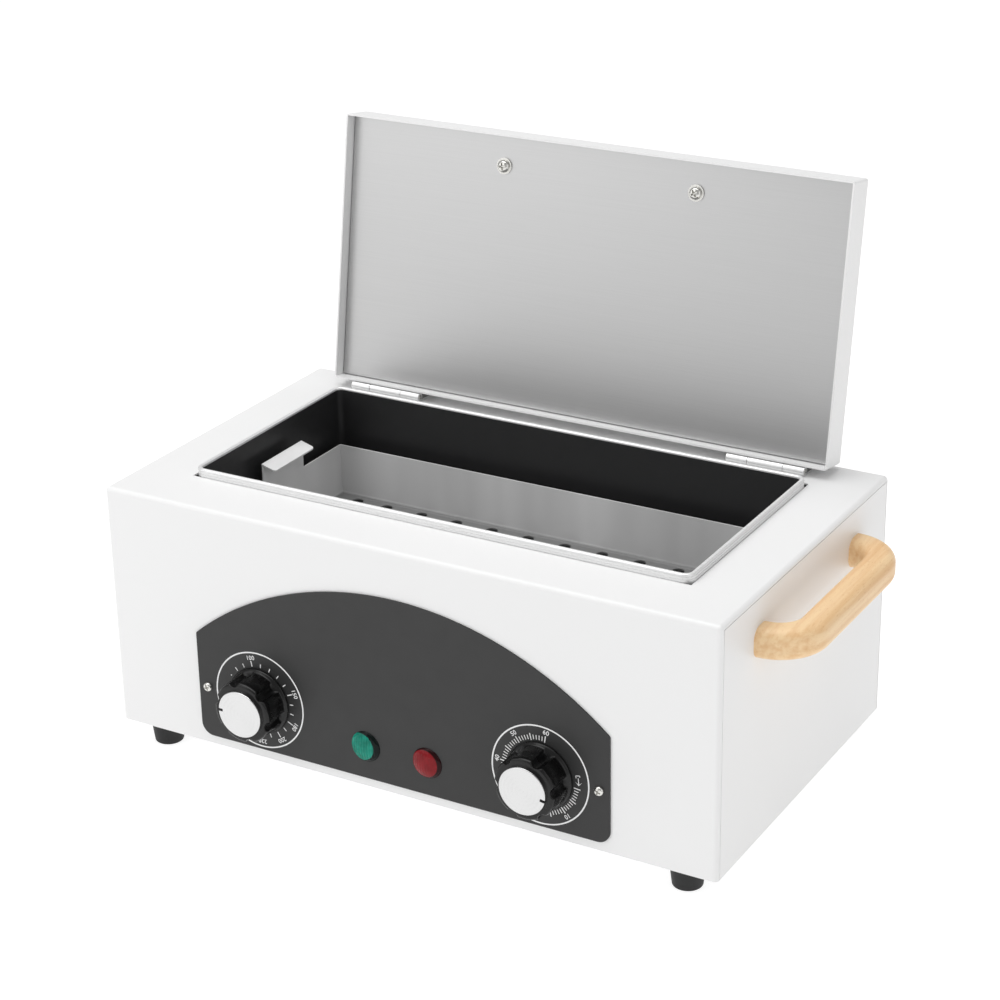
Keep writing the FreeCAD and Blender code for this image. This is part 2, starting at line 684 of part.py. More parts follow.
def upright_at(edge, half):
    """Whether an edge is upright and lies at a distance from the middle, on either side."""
    return runs_along(edge, "z") and same(abs(edge.CenterOfMass.x), reading(half))


def edge_radius(edge):
    """The radius of a round edge, or zero."""
    return edge.Curve.Radius if isinstance(edge.Curve, Part.Circle) else 0


# Places shared by several pieces


def feet_places():
    """Names and centres of the four feet."""
    rows = (("front", "-foot_y"), ("rear", "foot_y"))
    columns = (("left", "-foot_x"), ("right", "foot_x"))
    return [("foot_%s_%s" % (row, column), x, y) for row, y in rows for column, x in columns]


def base_screw_places():
    """Centres of the six screws under the base."""
    lips = [("%s base_screw_span / 2" % side, way + "base_screw_y") for way in ("-", "") for side in "-+"]
    return lips + [("-pan_in", "0"), ("pan_in", "0")]


def hinge_rivet_offsets():
    """Rivets of a leaf to the left and right of its middle."""
    return ("-rivet_span / 2", "rivet_span / 2")


def hinge_middles():
    """Names and middles of the two hinges."""
    return (("left", "-hinge_x"), ("right", "hinge_x"))


def inlet_outline(half_wide, half_tall):
    """Sides and heights of a rectangle about the middle of the inlet."""
    sides = ("inlet_x - (%s)" % half_wide, "inlet_x + %s" % half_wide)
    return sides, ("inlet_z - (%s)" % half_tall, "inlet_z + %s" % half_tall)


def swung(y, z):
    """A point of the closed lid, as y and z formulas of the opened lid."""
    out, up = "(%s - hinge_y)" % y, "(%s - hinge_z)" % z
    return (
        "hinge_y + %s * cos(lid_open) + %s * sin(lid_open)" % (out, up),
        "hinge_z - %s * sin(lid_open) + %s * cos(lid_open)" % (out, up),
    )


def open_with_lid(thing, x="0", y="0", z="0"):
    """Swing a piece of the closed lid open, its own origin at a closed point."""
    swing = FreeCAD.Rotation(Vector(1, 0, 0), -reading("lid_open"))
    thing.Placement = FreeCAD.Placement(Vector(), swing)
    open_y, open_z = swung(y, z)
    bind(thing, "Placement.Rotation.Angle", "-lid_open")
    bind(thing, "Placement.Base.x", x)
    bind(thing, "Placement.Base.y", open_y)
    bind(thing, "Placement.Base.z", open_z)
    return thing


# Casing


def make_outer_shell():
    """Front, top and rear wall in one folded sheet, with lips under both walls."""
    body = new_body("outer_shell")
    outline = sketch_on(body, "shell_outline", "XY", "casing_bottom")
    rectangle(outline, ("-half_width", "half_width"), ("-half_depth", "half_depth"))
    pad(body, outline, "casing_height")
    hollow = sketch_on(body, "shell_hollow", "XY", "base_under")
    inside_x = "half_width - casing_sheet"
    rectangle(hollow, ("-(%s)" % inside_x, inside_x), ("-wall_inside", "wall_inside"))
    pocket(body, hollow, "casing_height - 2 * casing_sheet", reverse=True)

    inner = lambda edge: upright_at(edge, inside_x) or lies_at(edge, "z", "ceiling")
    round_edges(body, "casing_bend - casing_sheet", inner)
    outer = lambda edge: upright_at(edge, "half_width") or lies_at(edge, "z", "casing_top")
    round_edges(body, "casing_bend", outer)
    opening = sketch_on(body, "base_opening", "XY", "casing_bottom")
    lip = "half_depth - return_depth"
    rectangle(opening, ("-half_width - overrun", "half_width + overrun"), ("-(%s)" % lip, lip))
    pocket(body, opening, "casing_sheet", reverse=True)
    for name, sign, reverse in (("left", "-", True), ("right", "", False)):
        window = sketch_on(body, "side_window_" + name, "YZ", sign + "half_width")
        edge_y = "half_depth - casing_bend"
        heights = ("casing_bottom - overrun", "casing_top - casing_bend")
        rectangle(window, ("-(%s)" % edge_y, edge_y), heights)
        pocket(body, window, "casing_bend", reverse=reverse)
    mouth = sketch_on(body, "tank_opening", "XY", "casing_top")
    mouth_x, mouth_y = "rim_half + rim_gap", ("rim_front - rim_gap", "rim_back + rim_gap")
    rectangle(mouth, ("-(%s)" % mouth_x, mouth_x), mouth_y)
    pocket(body, mouth, "2 * casing_sheet")
    holes = sketch_on(body, "front_holes", "XZ", "-half_depth")
    front_holes(holes)
    pocket(body, holes, "2 * casing_sheet")
    back = sketch_on(body, "inlet_opening", "XZ", "half_depth")
    rectangle(back, *inlet_outline("inlet_body_width / 2 + fit_gap", "inlet_body_tall / 2 + fit_gap"))
    for sign in "-+":
        circle(back, ("inlet_x %s inlet_screw_span / 2" % sign, "inlet_z"), "screw_radius + hole_gap")
    pocket(body, back, "2 * casing_sheet", reverse=True)
    rivets = sketch_on(body, "rivet_holes", "XY", "casing_top")
    for name, middle in hinge_middles():
        for offset in hinge_rivet_offsets():
            centre = (middle + " + " + offset, "hinge_y + rivet_reach")
            circle(rivets, centre, "rivet_radius + hole_gap")
    pocket(body, rivets, "2 * casing_sheet")
    lip_holes = sketch_on(body, "lip_holes", "XY", "casing_bottom")
    for name, x, y in feet_places():
        circle(lip_holes, (x, y), "bolt_radius + hole_gap")
    for x, y in base_screw_places()[:4]:
        circle(lip_holes, (x, y), "screw_radius + hole_gap")
    pocket(body, lip_holes, "casing_sheet", reverse=True)


def front_holes(sketch):
    """Holes for the two bushings, the two lamps and the two screws of the front panel."""
    for x in ("temperature_x", "timer_x"):
        circle(sketch, (x, "knob_z"), "bushing_radius + fit_gap")
    for sign in "-+":
        circle(sketch, ("plate_shift %s lamp_span / 2" % sign, "lamp_z"), "lamp_barrel_radius + fit_gap")
        screw_x = "plate_shift %s plate_screw_span / 2" % sign
        circle(sketch, (screw_x, "plate_screw_z"), "screw_radius + hole_gap")
    return sketch


def make_side_panel(label, turn):
    """A side panel: a shallow pan inside the shell with its face raised flush with it."""
    body = new_body(label)
    rim_y = "half_depth - casing_sheet - fit_gap"
    rim_high = "ceiling - fit_gap"
    face_y = "half_depth - casing_bend - panel_seam"
    face_high = "casing_top - casing_bend - panel_seam"
    pan = sketch_on(body, label + "_pan", "YZ", "pan_in")
    rectangle(pan, ("-(%s)" % rim_y, rim_y), ("base_under", rim_high))
    pad(body, pan, "side_flange")

    def folded(edge):
        at_face = lies_at(edge, "x", "pan_face") and not lies_at(edge, "z", "base_under")
        return at_face or (runs_along(edge, "x") and lies_at(edge, "z", rim_high))

    round_edges(body, "casing_bend - casing_sheet - fit_gap / 2", folded)
    hollow = sketch_on(body, label + "_hollow", "YZ", "pan_in")
    hollow_y = rim_y + " - casing_sheet"
    rectangle(hollow, ("-(%s)" % hollow_y, hollow_y), ("casing_bottom", rim_high + " - casing_sheet"))
    pocket(body, hollow, "side_flange - casing_sheet", reverse=True)
    face = sketch_on(body, label + "_face", "YZ", "pan_face")
    rectangle(face, ("-(%s)" % face_y, face_y), ("casing_bottom", face_high))
    pad(body, face, "half_width - pan_face")
    relief = sketch_on(body, label + "_relief", "YZ", "pan_face - casing_sheet")
    relief_y = face_y + " - side_joggle"
    heights = ("base_under + side_joggle", face_high + " - side_joggle")
    rectangle(relief, ("-(%s)" % relief_y, relief_y), heights)
    pocket(body, relief, "casing_sheet", reverse=True)
    tab = sketch_on(body, label + "_tab", "XY", "casing_bottom")
    tab_y = "half_depth - return_depth - 2 * fit_gap"
    rectangle(tab, ("pan_in - side_flange", "half_width"), ("-(%s)" % tab_y, tab_y))
    pad(body, tab, "casing_sheet")
    tab_hole = sketch_on(body, label + "_tab_hole", "XY", "casing_bottom")
    circle(tab_hole, ("pan_in", "0"), "screw_radius + hole_gap")
    pocket(body, tab_hole, "casing_sheet", reverse=True)
    holes = sketch_on(body, label + "_handle_holes", "YZ", "half_width")
    for sign in "-+":
        circle(holes, ("%s bow_span / 2" % sign, "side_bow_z"), "bolt_radius + hole_gap")
    pocket(body, holes, "side_flange")
    body.Placement = FreeCAD.Placement(Vector(), FreeCAD.Rotation(Vector(0, 0, 1), turn))


def make_base_plate():
    """The flat base on the lips, with vent slots."""
    body = new_body("base_plate")
    outline = sketch_on(body, "base_outline", "XY", "base_under")
    base_x = "pan_face - casing_sheet - fit_gap"
    base_y = "wall_inside - casing_sheet - 2 * fit_gap"
    rectangle(outline, ("-(%s)" % base_x, base_x), ("-(%s)" % base_y, base_y))
    pad(body, outline, "casing_sheet")
    holes = sketch_on(body, "base_holes", "XY", "base_under")
    for name, x, y in feet_places():
        circle(holes, (x, y), "bolt_radius + hole_gap")
    for x, y in base_screw_places():
        circle(holes, (x, y), "screw_radius + hole_gap")
    circle(holes, ("earth_x", "earth_y"), "bolt_radius + hole_gap")
    pocket(body, holes, "casing_sheet", reverse=True)
    slot = sketch_on(body, "base_slot", "XY", "base_under")
    reach = "(slot_count - 1) * slot_pitch"
    start = "-(%s) / 2" % reach
    sides = (start + " - slot_width / 2", start + " + slot_width / 2")
    rectangle(slot, sides, ("-slot_length / 2", "slot_length / 2"))
    cut_slot = pocket(body, slot, "casing_sheet", reverse=True)
    slots = feature(body, "LinearPattern", "base_slots", Originals=[cut_slot])
    slots.Direction = (origin_part(body, "X_Axis"), [""])
    bind(slots, "Length", reach)
    bind(slots, "Occurrences", "slot_count")
    settle(body, slots)


def make_base_fixings():
    """Screws that hold the base to the lips."""
    screws = []
    for number, (x, y) in enumerate(base_screw_places(), start=1):
        name = "base_screw_%d" % number
        screws.append(pan_screw(name, "screw", "z", -1, "casing_bottom", "base_screw_length", (x, y)))
    group("base_screws", screws)


def make_feet():
    """Four rubber feet, each with a long screw and a nut on the base."""
    screws, nuts = [], []
    for label, x, y in feet_places():
        body = new_body(label)
        profile = sketch_on(body, label + "_profile", "XZ", "0")
        hole = "bolt_radius + hole_gap"
        polygon(
            profile,
            (
                ("foot_bore_radius", "0"),
                ("foot_bottom_radius", "0"),
                ("foot_top_radius", "foot_height"),
                (hole, "foot_height"),
                (hole, "foot_floor"),
                ("foot_bore_radius", "foot_floor"),
            ),
        )
        revolve(body, profile)
        sole = reading("foot_bottom_radius")
        on_sole = lambda edge: lies_at(edge, "z", "0") and same(edge_radius(edge), sole)
        round_edges(body, "foot_round", on_sole)
        bind(body, "Placement.Base.x", x)
        bind(body, "Placement.Base.y", y)
        length = "base_top + bolt_nut_height + casing_sheet - foot_floor"
        screws.append(pan_screw(label + "_screw", "bolt", "z", -1, "foot_floor", length, (x, y)))
        nut_top = "base_top + bolt_nut_height"
        nuts.append(nut(label + "_nut", "z", "bolt_nut_radius", "base_top", nut_top, (x, y), hole))
    group("foot_screws", screws)
    group("foot_nuts", nuts)


# Tank, rim, heater and insulation


def make_tank_rim():
    """The folded stainless rim: a channel that stands through the casing, with a flange under it."""
    body = new_body("tank_rim")
    path = sketch_on(body, "rim_path", "XY", "casing_top")
    right, left = "rim_half", "-rim_half"
    near, far = "rim_front", "rim_back"
    right_in, left_in = right + " - rim_corner", left + " + rim_corner"
    near_in, far_in = near + " + rim_corner", far + " - rim_corner"
    corners = (
        ((right_in, near), (right, near_in), (right_in, near_in)),
        ((right, far_in), (right_in, far), (right_in, far_in)),
        ((left_in, far), (left, far_in), (left_in, far_in)),
        ((left, near_in), (left_in, near), (left_in, near_in)),
    )
    radius = reading("rim_corner")
    previous = ("0", near)
    for number, (start, end, centre) in enumerate(corners):
        path.addGeometry(Part.LineSegment(spot(previous), spot(start)))
        turn = Part.Circle(spot(centre), Vector(0, 0, 1), radius)
        path.addGeometry(Part.ArcOfCircle(turn, math.radians(90 * number - 90), math.radians(90 * number)))
        previous = end
    path.addGeometry(Part.LineSegment(spot(previous), spot(("0", near))))
    last = path.GeometryCount - 1
    for index in range(last):
        path.addConstraint(Sketcher.Constraint("Tangent", index, 2, index + 1, 1))
    path.addConstraint(Sketcher.Constraint("Coincident", last, 2, 0, 1))
    pin_point(path, 0, 1, ("0", near))
    fix(path, "DistanceX", (-1, 1, 2, 1), right)
    fix(path, "DistanceY", (-1, 1, 4, 1), far)
    fix(path, "DistanceX", (-1, 1, 6, 1), left)
    for index in (1, 3, 5, 7):
        fix(path, "Radius", (index,), "rim_corner")
    for index, kind in ((0, "Horizontal"), (2, "Vertical"), (4, "Horizontal"), (6, "Vertical")):
        path.addConstraint(Sketcher.Constraint(kind, index))
    profile = sketch_on(body, "rim_profile", "YZ", "0")
    bead = "rim_top - bead_drop"
    second_bead = bead + " - 2 * bead_height"
    dent = near + " + bead_depth"
    polygon(
        profile,
        (
            (near + " - rim_flange", "rim_foot"),
            (near + " - rim_flange", "ceiling"),
            (near, "ceiling"),
            (near, second_bead + " - bead_height"),
            (dent, second_bead + " - bead_height"),
            (dent, second_bead),
            (near, second_bead),
            (near, bead),
            (dent, bead),
            (dent, bead + " + bead_height"),
            (near, bead + " + bead_height"),
            (near, "rim_top"),
            (near + " + rim_wide", "rim_top"),
            (near + " + rim_wide", "tank_mouth"),
            (near + " + rim_wide - rim_sheet", "tank_mouth"),
            (near + " + rim_wide - rim_sheet", "rim_top - rim_sheet"),
            (near + " + rim_sheet", "rim_top - rim_sheet"),
            (near + " + rim_sheet", "rim_foot"),
        ),
    )
    DOCUMENT.recompute()
    pipe = feature(body, "AdditivePipe", "rim_fold", Profile=profile)
    pipe.Spine = (path, ["Edge%d" % (index + 1) for index in range(len(path.Shape.Edges))])
    settle(body, pipe)
    round_edges(body, "rim_round", lambda edge: lies_at(edge, "z", "rim_top"))
    notches = sketch_on(body, "rim_notches", "XY", "ceiling")
    reach = " + rim_flange + overrun"
    near_out, far_out = near + " - rim_flange - overrun", far + reach
    for side_in, side_out in ((right_in, right + reach), (left_in, left + " - rim_flange - overrun")):
        for row_in, row_out in ((near_in, near_out), (far_in, far_out)):
            wide = (side_in, side_out) if side_in == right_in else (side_out, side_in)
            deep = (row_in, row_out) if row_in == far_in else (row_out, row_in)
            rectangle(notches, wide, deep)
    pocket(body, notches, "rim_sheet")


def make_inner_tank():
    """The stainless tank under the rim."""
    body = new_body("inner_tank")
    outline = sketch_on(body, "tank_outline", "XY", "tank_under")
    outer_x = "tank_half + tank_sheet"
    outer_y = ("tank_front - tank_sheet", "tank_back + tank_sheet")
    rectangle(outline, ("-(%s)" % outer_x, outer_x), outer_y)
    pad(body, outline, "tank_mouth - tank_under")
    hollow = sketch_on(body, "tank_hollow", "XY", "tank_mouth")
    rectangle(hollow, ("-tank_half", "tank_half"), ("tank_front", "tank_back"))
    pocket(body, hollow, "tank_mouth - tank_floor")
    round_edges(body, "tank_corner", lambda edge: upright_at(edge, "tank_half"))
    round_edges(body, "tank_bend", lambda edge: lies_at(edge, "z", "tank_floor"))
    round_edges(body, "tank_corner + tank_sheet", lambda edge: upright_at(edge, outer_x))
    round_edges(body, "tank_bend + tank_sheet", lambda edge: lies_at(edge, "z", "tank_under"))


def capillary_points():
    """Corners of the capillary from the thermostat to the bulb."""
    out_z = "knob_z + capillary_exit"
    back_y = "-wall_inside + thermostat_depth"
    turn_y = "bulb_front - 2 * capillary_bend"
    bulb_z = "tank_under - bulb_radius"
    return (
        ("temperature_x", back_y, out_z),
        ("temperature_x", turn_y, out_z),
        ("-bulb_x", turn_y, out_z),
        ("-bulb_x", turn_y, bulb_z),
        ("-bulb_x", "bulb_front", bulb_z),
    )


def make_chamber_jacket():
    """The sheet jacket that carries the insulation, hung from the top of the casing."""
    outer_x = "jacket_half + jacket_sheet"
    outer_y = ("jacket_front - jacket_sheet", "jacket_back + jacket_sheet")
    heights = ("jacket_floor - jacket_sheet", "ceiling")
    walls = block("jacket_walls", ("-(%s)" % outer_x, outer_x), outer_y, heights)
    flange = block(
        "jacket_flange_plate",
        ("-(%s) - jacket_flange" % outer_x, outer_x + " + jacket_flange"),
        (outer_y[0] + " - jacket_flange", outer_y[1] + " + jacket_flange"),
        ("ceiling - jacket_sheet", "ceiling"),
    )
    inside = block(
        "jacket_inside",
        ("-jacket_half", "jacket_half"),
        ("jacket_front", "jacket_back"),
        ("jacket_floor", "ceiling + overrun"),
    )
    centre = capillary_points()[3][:2]
    depths = ("jacket_floor - overrun", "jacket_floor + overrun")
    hole = rod("jacket_hole", "z", "capillary_radius + pocket_gap", *depths, centre)
    keep(cut("chamber_jacket", fuse("jacket_blank", [walls, flange]), [inside, hole]), "chamber_jacket")


def make_chamber_insulation():
    """Mineral wool round the tank and under it, with pockets for what is let in."""
    wool = block(
        "wool_block",
        ("-jacket_half", "jacket_half"),
        ("jacket_front", "jacket_back"),
        ("jacket_floor", "rim_foot - wool_drop"),
    )
    outer_x = "tank_half + tank_sheet + fit_gap"
    outer_y = ("tank_front - tank_sheet - fit_gap", "tank_back + tank_sheet + fit_gap")
    room = block("wool_room", ("-(%s)" % outer_x, outer_x), outer_y, ("clamp_under", "casing_top"))
    tools = [room]
    high = "clamp_under + overrun"
    for number, centre in enumerate(stud_places(), start=1):
        low = "tank_under - stud_length - pocket_gap"
        tools.append(rod("wool_pocket_%d" % number, "z", "bolt_nut_radius + pocket_gap", low, high, centre))
    ear = "cutout_ear + pocket_gap"
    tools.append(
        block(
            "wool_cutout_pocket",
            ("cutout_x - cutout_radius - pocket_gap", "cutout_x + cutout_radius + pocket_gap"),
            ("chamber_y - (%s)" % ear, "chamber_y + (%s)" % ear),
            ("tank_under - cutout_height - blade_length - pocket_gap", high),
        )
    )
    x, y = capillary_points()[3][:2]
    tools.append(
        block(
            "wool_bulb_pocket",
            ("-bulb_x - bulb_radius - pocket_gap", "-bulb_x + bulb_radius + pocket_gap"),
            (y + " - pocket_gap - capillary_radius", "bulb_back + pocket_gap"),
            ("tank_under - 2 * bulb_radius - pocket_gap", high),
        )
    )
    hole_radius = "capillary_radius + pocket_gap"
    tools.append(rod("wool_hole", "z", hole_radius, "jacket_floor - overrun", high, (x, y)))
    keep(cut("chamber_insulation", wool, tools), "chamber_insulation")


def stud_places():
    """Centres of the four studs under the tank."""
    return [(side + "stud_x", "chamber_y %s stud_y" % way) for side in ("-", "") for way in "-+"]


def heater_stack_plate(label, low, high, margin):
    """One flat layer of the heater stack with its four stud holes."""
    half_x = "heater_half_x + " + margin
    half_y = "heater_half_y + " + margin
    plate = block(
        label + "_blank",
        ("-(%s)" % half_x, half_x),
        ("chamber_y - (%s)" % half_y, "chamber_y + (%s)" % half_y),
        (low, high),
    )
    tools = []
    for number, centre in enumerate(stud_places(), start=1):
        name = "%s_hole_%d" % (label, number)
        ends = (low + " - overrun", high + " + overrun")
        tools.append(rod(name, "z", "bolt_radius + hole_gap", *ends, centre))
    keep(cut(label, plate, tools), label)


def make_heater():
    """The mica heater, its clamp plate, studs and nuts, and the thermal cut-out beside it."""
    heater_stack_plate("heater_element", "tank_under - heater_thick", "tank_under", "0")
    heater_stack_plate("heater_clamp", "clamp_under", "clamp_under + clamp_sheet", "pocket_gap")
    studs, nuts = [], []
    for number, centre in enumerate(stud_places(), start=1):
        stud = "heater_stud_%d" % number
        studs.append(rod(stud, "z", "bolt_radius", "tank_under - stud_length", "tank_under", centre))
        low = "clamp_under - bolt_nut_height"
        bore = "bolt_radius + hole_gap"
        nuts.append(nut("heater_nut_%d" % number, "z", "bolt_nut_radius", low, "clamp_under", centre, bore))
    group("heater_studs", studs)
    group("heater_nuts", nuts)
    centre = ("cutout_x", "chamber_y")
    disc = rod("cutout_disc", "z", "cutout_radius", "tank_under - cutout_height", "tank_under", centre)
    strap = block(
        "cutout_strap",
        ("cutout_x - cutout_radius / 2", "cutout_x + cutout_radius / 2"),
        ("chamber_y - cutout_ear", "chamber_y + cutout_ear"),
        ("tank_under - clamp_sheet", "tank_under"),
    )
    blades = []
    for sign in "-+":
        middle = "cutout_x %s cutout_radius / 2" % sign
        blades.append(
            block(
                "cutout_blade_" + ("left" if sign == "-" else "right"),
                (middle + " - blade_thick / 2", middle + " + blade_thick / 2"),
                ("chamber_y - blade_width / 2", "chamber_y + blade_width / 2"),
                ("tank_under - cutout_height - blade_length", "tank_under - cutout_height"),
            )
        )
    keep(fuse("thermal_cutout", [disc, strap] + blades), "thermal_cutout")


# Front panel, lamps and knobs


def make_front_panel():
    """The dark panel with its arched top."""
    body = new_body("front_panel")
    outline = sketch_on(body, "panel_outline", "XZ", "-half_depth")
    low = "casing_bottom + plate_low"
    high = "shoulder_z"
    points = (("plate_left", high), ("plate_left", low), ("plate_right", low), ("plate_right", high))
    spots = [spot(point) for point in points]
    for index in range(3):
        outline.addGeometry(Part.LineSegment(spots[index], spots[index + 1]))
    radius = reading("arch_radius")
    centre = Vector(reading("plate_shift"), reading("plate_top - arch_radius"), 0)
    half_turn = math.asin(reading("plate_width / 2") / radius)
    arch = Part.Circle(centre, Vector(0, 0, 1), radius)
    outline.addGeometry(Part.ArcOfCircle(arch, math.pi / 2 - half_turn, math.pi / 2 + half_turn))
    for index in range(3):
        outline.addConstraint(Sketcher.Constraint("Coincident", index, 2, index + 1, 1))
    outline.addConstraint(Sketcher.Constraint("Coincident", 3, 2, 0, 1))
    for index in range(3):
        pin_point(outline, index, 1, points[index])
    pin_point(outline, 2, 2, points[3])
    fix(outline, "Radius", (3,), "arch_radius")
    pad(body, outline, "plate_thick")
    round_edges(body, "plate_corner", lambda edge: runs_along(edge, "y") and lies_at(edge, "z", low))
    shoulders = lambda edge: runs_along(edge, "y") and lies_at(edge, "z", high)
    round_edges(body, "plate_shoulder_round", shoulders)
    holes = sketch_on(body, "panel_holes", "XZ", "plate_face")
    front_holes(holes)
    pocket(body, holes, "2 * plate_thick")
    screws = []
    for sign in "-+":
        centre = ("plate_shift %s plate_screw_span / 2" % sign, "plate_screw_z")
        name = "panel_screw_" + ("left" if sign == "-" else "right")
        screws.append(pan_screw(name, "screw", "y", -1, "plate_face", "panel_screw_length", centre))
    group("panel_screws", screws)


def make_lamps():
    """Two domed lenses with the lamps behind them."""
    barrels = []
    for label, sign in (("lamp_lens_green", "-"), ("lamp_lens_red", "+")):
        x = "plate_shift %s lamp_span / 2" % sign
        body = new_body(label)
        disc = sketch_on(body, label + "_disc", "XZ", "plate_face")
        circle(disc, (x, "lamp_z"), "lamp_radius")
        pad(body, disc, "lamp_dome")
        round_edges(body, "lamp_round", lambda edge: lies_at(edge, "y", "plate_face - lamp_dome"))
        name = label.replace("lens", "barrel")
        depths = ("plate_face", "plate_face + lamp_barrel_length")
        barrels.append(rod(name, "y", "lamp_barrel_radius", *depths, (x, "lamp_z")))
    group("lamp_barrels", barrels)


def face_forward(thing, x, z, turn):
    """Stand a thing made along +Z on the front panel, facing the front, turned clockwise."""
    facing = FreeCAD.Rotation(Vector(1, 0, 0), 90)
    clockwise = FreeCAD.Rotation(Vector(0, 0, 1), -reading(turn))
    thing.Placement = FreeCAD.Placement(Vector(), facing * clockwise)
    bind(thing, "Placement.Base.x", x)
    bind(thing, "Placement.Base.y", "plate_face")
    bind(thing, "Placement.Base.z", z)
    return thing


def make_knob(label, x, pointer, flute_turn):
    """A lobed knob on a round skirt with an aluminium cap, its pointer at the top before it is turned."""
    body = new_body(label)
    profile = sketch_on(body, label + "_profile", "XZ", "0")
    polygon(
        profile,
        (
            ("knob_well_radius", "knob_lift"),
            ("knob_skirt_radius", "knob_lift"),
            ("knob_skirt_radius", "knob_lift + knob_skirt_edge"),
            ("knob_grip_radius", "knob_lift + knob_skirt_height"),
            ("knob_nose_radius", "knob_length - knob_nose_round"),
            ("knob_nose_radius - knob_nose_round", "knob_length"),
            ("0", "knob_length"),
            ("0", "knob_lift + knob_well_depth"),
            ("knob_well_radius", "knob_lift + knob_well_depth"),
        ),
    )
    revolve(body, profile)
    bore = sketch_on(body, label + "_bore", "XY", "knob_lift + knob_well_depth")
    circle(bore, ("0", "0"), "shaft_radius + shaft_play")
    pocket(body, bore, "knob_bore_depth", reverse=True)
    flute = sketch_on(body, label + "_flute", "XY", "knob_length")
    turned = ("flute_centre * sin(%s)" % flute_turn, "flute_centre * cos(%s)" % flute_turn)
    circle(flute, turned, "flute_radius")
    groove = pocket(body, flute, "knob_length - knob_lift - knob_skirt_height")
    flutes = feature(body, "PolarPattern", label + "_flutes", Originals=[groove])
    flutes.Axis = (origin_part(body, "Z_Axis"), [""])
    flutes.Angle = 360
    bind(flutes, "Occurrences", "flute_count")
    settle(body, flutes)
    face_forward(body, x, "knob_z", pointer)
    cap = new_body(label + "_cap")
    disc = sketch_on(cap, label + "_cap_disc", "XY", "knob_length")
    circle(disc, ("0", "0"), "cap_radius")
    pad(cap, disc, "cap_thick")
    round_edges(cap, "cap_round", lambda edge: lies_at(edge, "z", "knob_length + cap_thick"))
    notch = sketch_on(cap, label + "_cap_notch", "XY", "knob_length + cap_thick")
    reach = ("cap_radius - notch_length", "cap_radius + overrun")
    rectangle(notch, ("-notch_width / 2", "notch_width / 2"), reach)
    pocket(cap, notch, "cap_thick")
    face_forward(cap, x, "knob_z", pointer)


def control_case(name, x, width, tall, depth):
    """The case of a control behind the wall, with a threaded bushing, terminal blades and a shaft bore."""
    half_wide, half_tall = "%s / 2" % width, "%s / 2" % tall
    case = block(
        name + "_case",
        ("%s - %s" % (x, half_wide), "%s + %s" % (x, half_wide)),
        ("-wall_inside", "-wall_inside + " + depth),
        ("knob_z - " + half_tall, "knob_z + " + half_tall),
    )
    depths = ("-wall_inside - bushing_length", "-wall_inside")
    bushing = rod(name + "_bushing", "y", "bushing_radius", *depths, (x, "knob_z"))
    blades = []
    for number, sign in enumerate("-+", start=1):
        middle = "%s %s blade_pitch / 2" % (x, sign)
        blades.append(
            block(
                "%s_blade_%d" % (name, number),
                (middle + " - blade_width / 2", middle + " + blade_width / 2"),
                ("-wall_inside + " + depth, "-wall_inside + %s + blade_length" % depth),
                ("knob_z - blade_pitch / 2", "knob_z - blade_pitch / 2 + blade_thick"),
            )
        )
    bore = rod(
        name + "_bore",
        "y",
        "shaft_radius + shaft_play",
        "-wall_inside - bushing_length - overrun",
        "-wall_inside + shaft_inside + fit_gap",
        (x, "knob_z"),
    )
    return cut(name, fuse(name + "_blank", [case, bushing] + blades), [bore])


def make_controls():
    """Thermostat and timer with their shafts and bushing nuts."""
    nuts = []
    for name, x in (("thermostat", "temperature_x"), ("timer", "timer_x")):
        case = control_case(name + "_body", x, name + "_width", name + "_tall", name + "_depth")
        keep(case, name + "_body")
        tip = "plate_face - knob_lift - knob_well_depth - knob_bore_depth + fit_gap"
        keep(
            rod(name + "_shaft", "y", "shaft_radius", tip, "-wall_inside + shaft_inside", (x, "knob_z")),
            name + "_shaft",
        )
        bore = "bushing_radius + hole_gap"
        start = "plate_face - spindle_nut_height"
        nuts.append(nut(name + "_nut", "y", "spindle_nut_radius", start, "plate_face", (x, "knob_z"), bore))
    group("spindle_nuts", nuts)


def make_capillary():
    """The thermostat's capillary and its bulb: straight runs joined by tangent arcs."""
    corners = [Vector(*(reading(text) for text in point)) for point in capillary_points()]
    bend = reading("capillary_bend")
    edges = []
    start = corners[0]
    for before, corner, after in zip(corners, corners[1:], corners[2:]):
        arriving = (corner - before).normalize()
        leaving = (after - corner).normalize()
        first, last = corner - arriving * bend, corner + leaving * bend
        middle = first + leaving * bend + (corner - (first + leaving * bend)).normalize() * bend
        edges.append(Part.LineSegment(start, first).toShape())
        edges.append(Part.Arc(first, middle, last).toShape())
        start = last
    edges.append(Part.LineSegment(start, corners[-1]).toShape())
    path = Part.Wire(edges)
    section = Part.Wire(Part.makeCircle(reading("capillary_radius"), corners[0], Vector(0, 1, 0)))
    tube = path.makePipeShell([section], True, True)
    long = reading("bulb_back - bulb_front")
    bulb = Part.makeCylinder(reading("bulb_radius"), long, corners[-1], Vector(0, 1, 0))
    capillary = DOCUMENT.addObject("Part::Feature", "thermostat_capillary")
    capillary.Shape = tube.fuse(bulb)
    keep(capillary, "thermostat_capillary")


# Power inlet, terminal block and earth stud


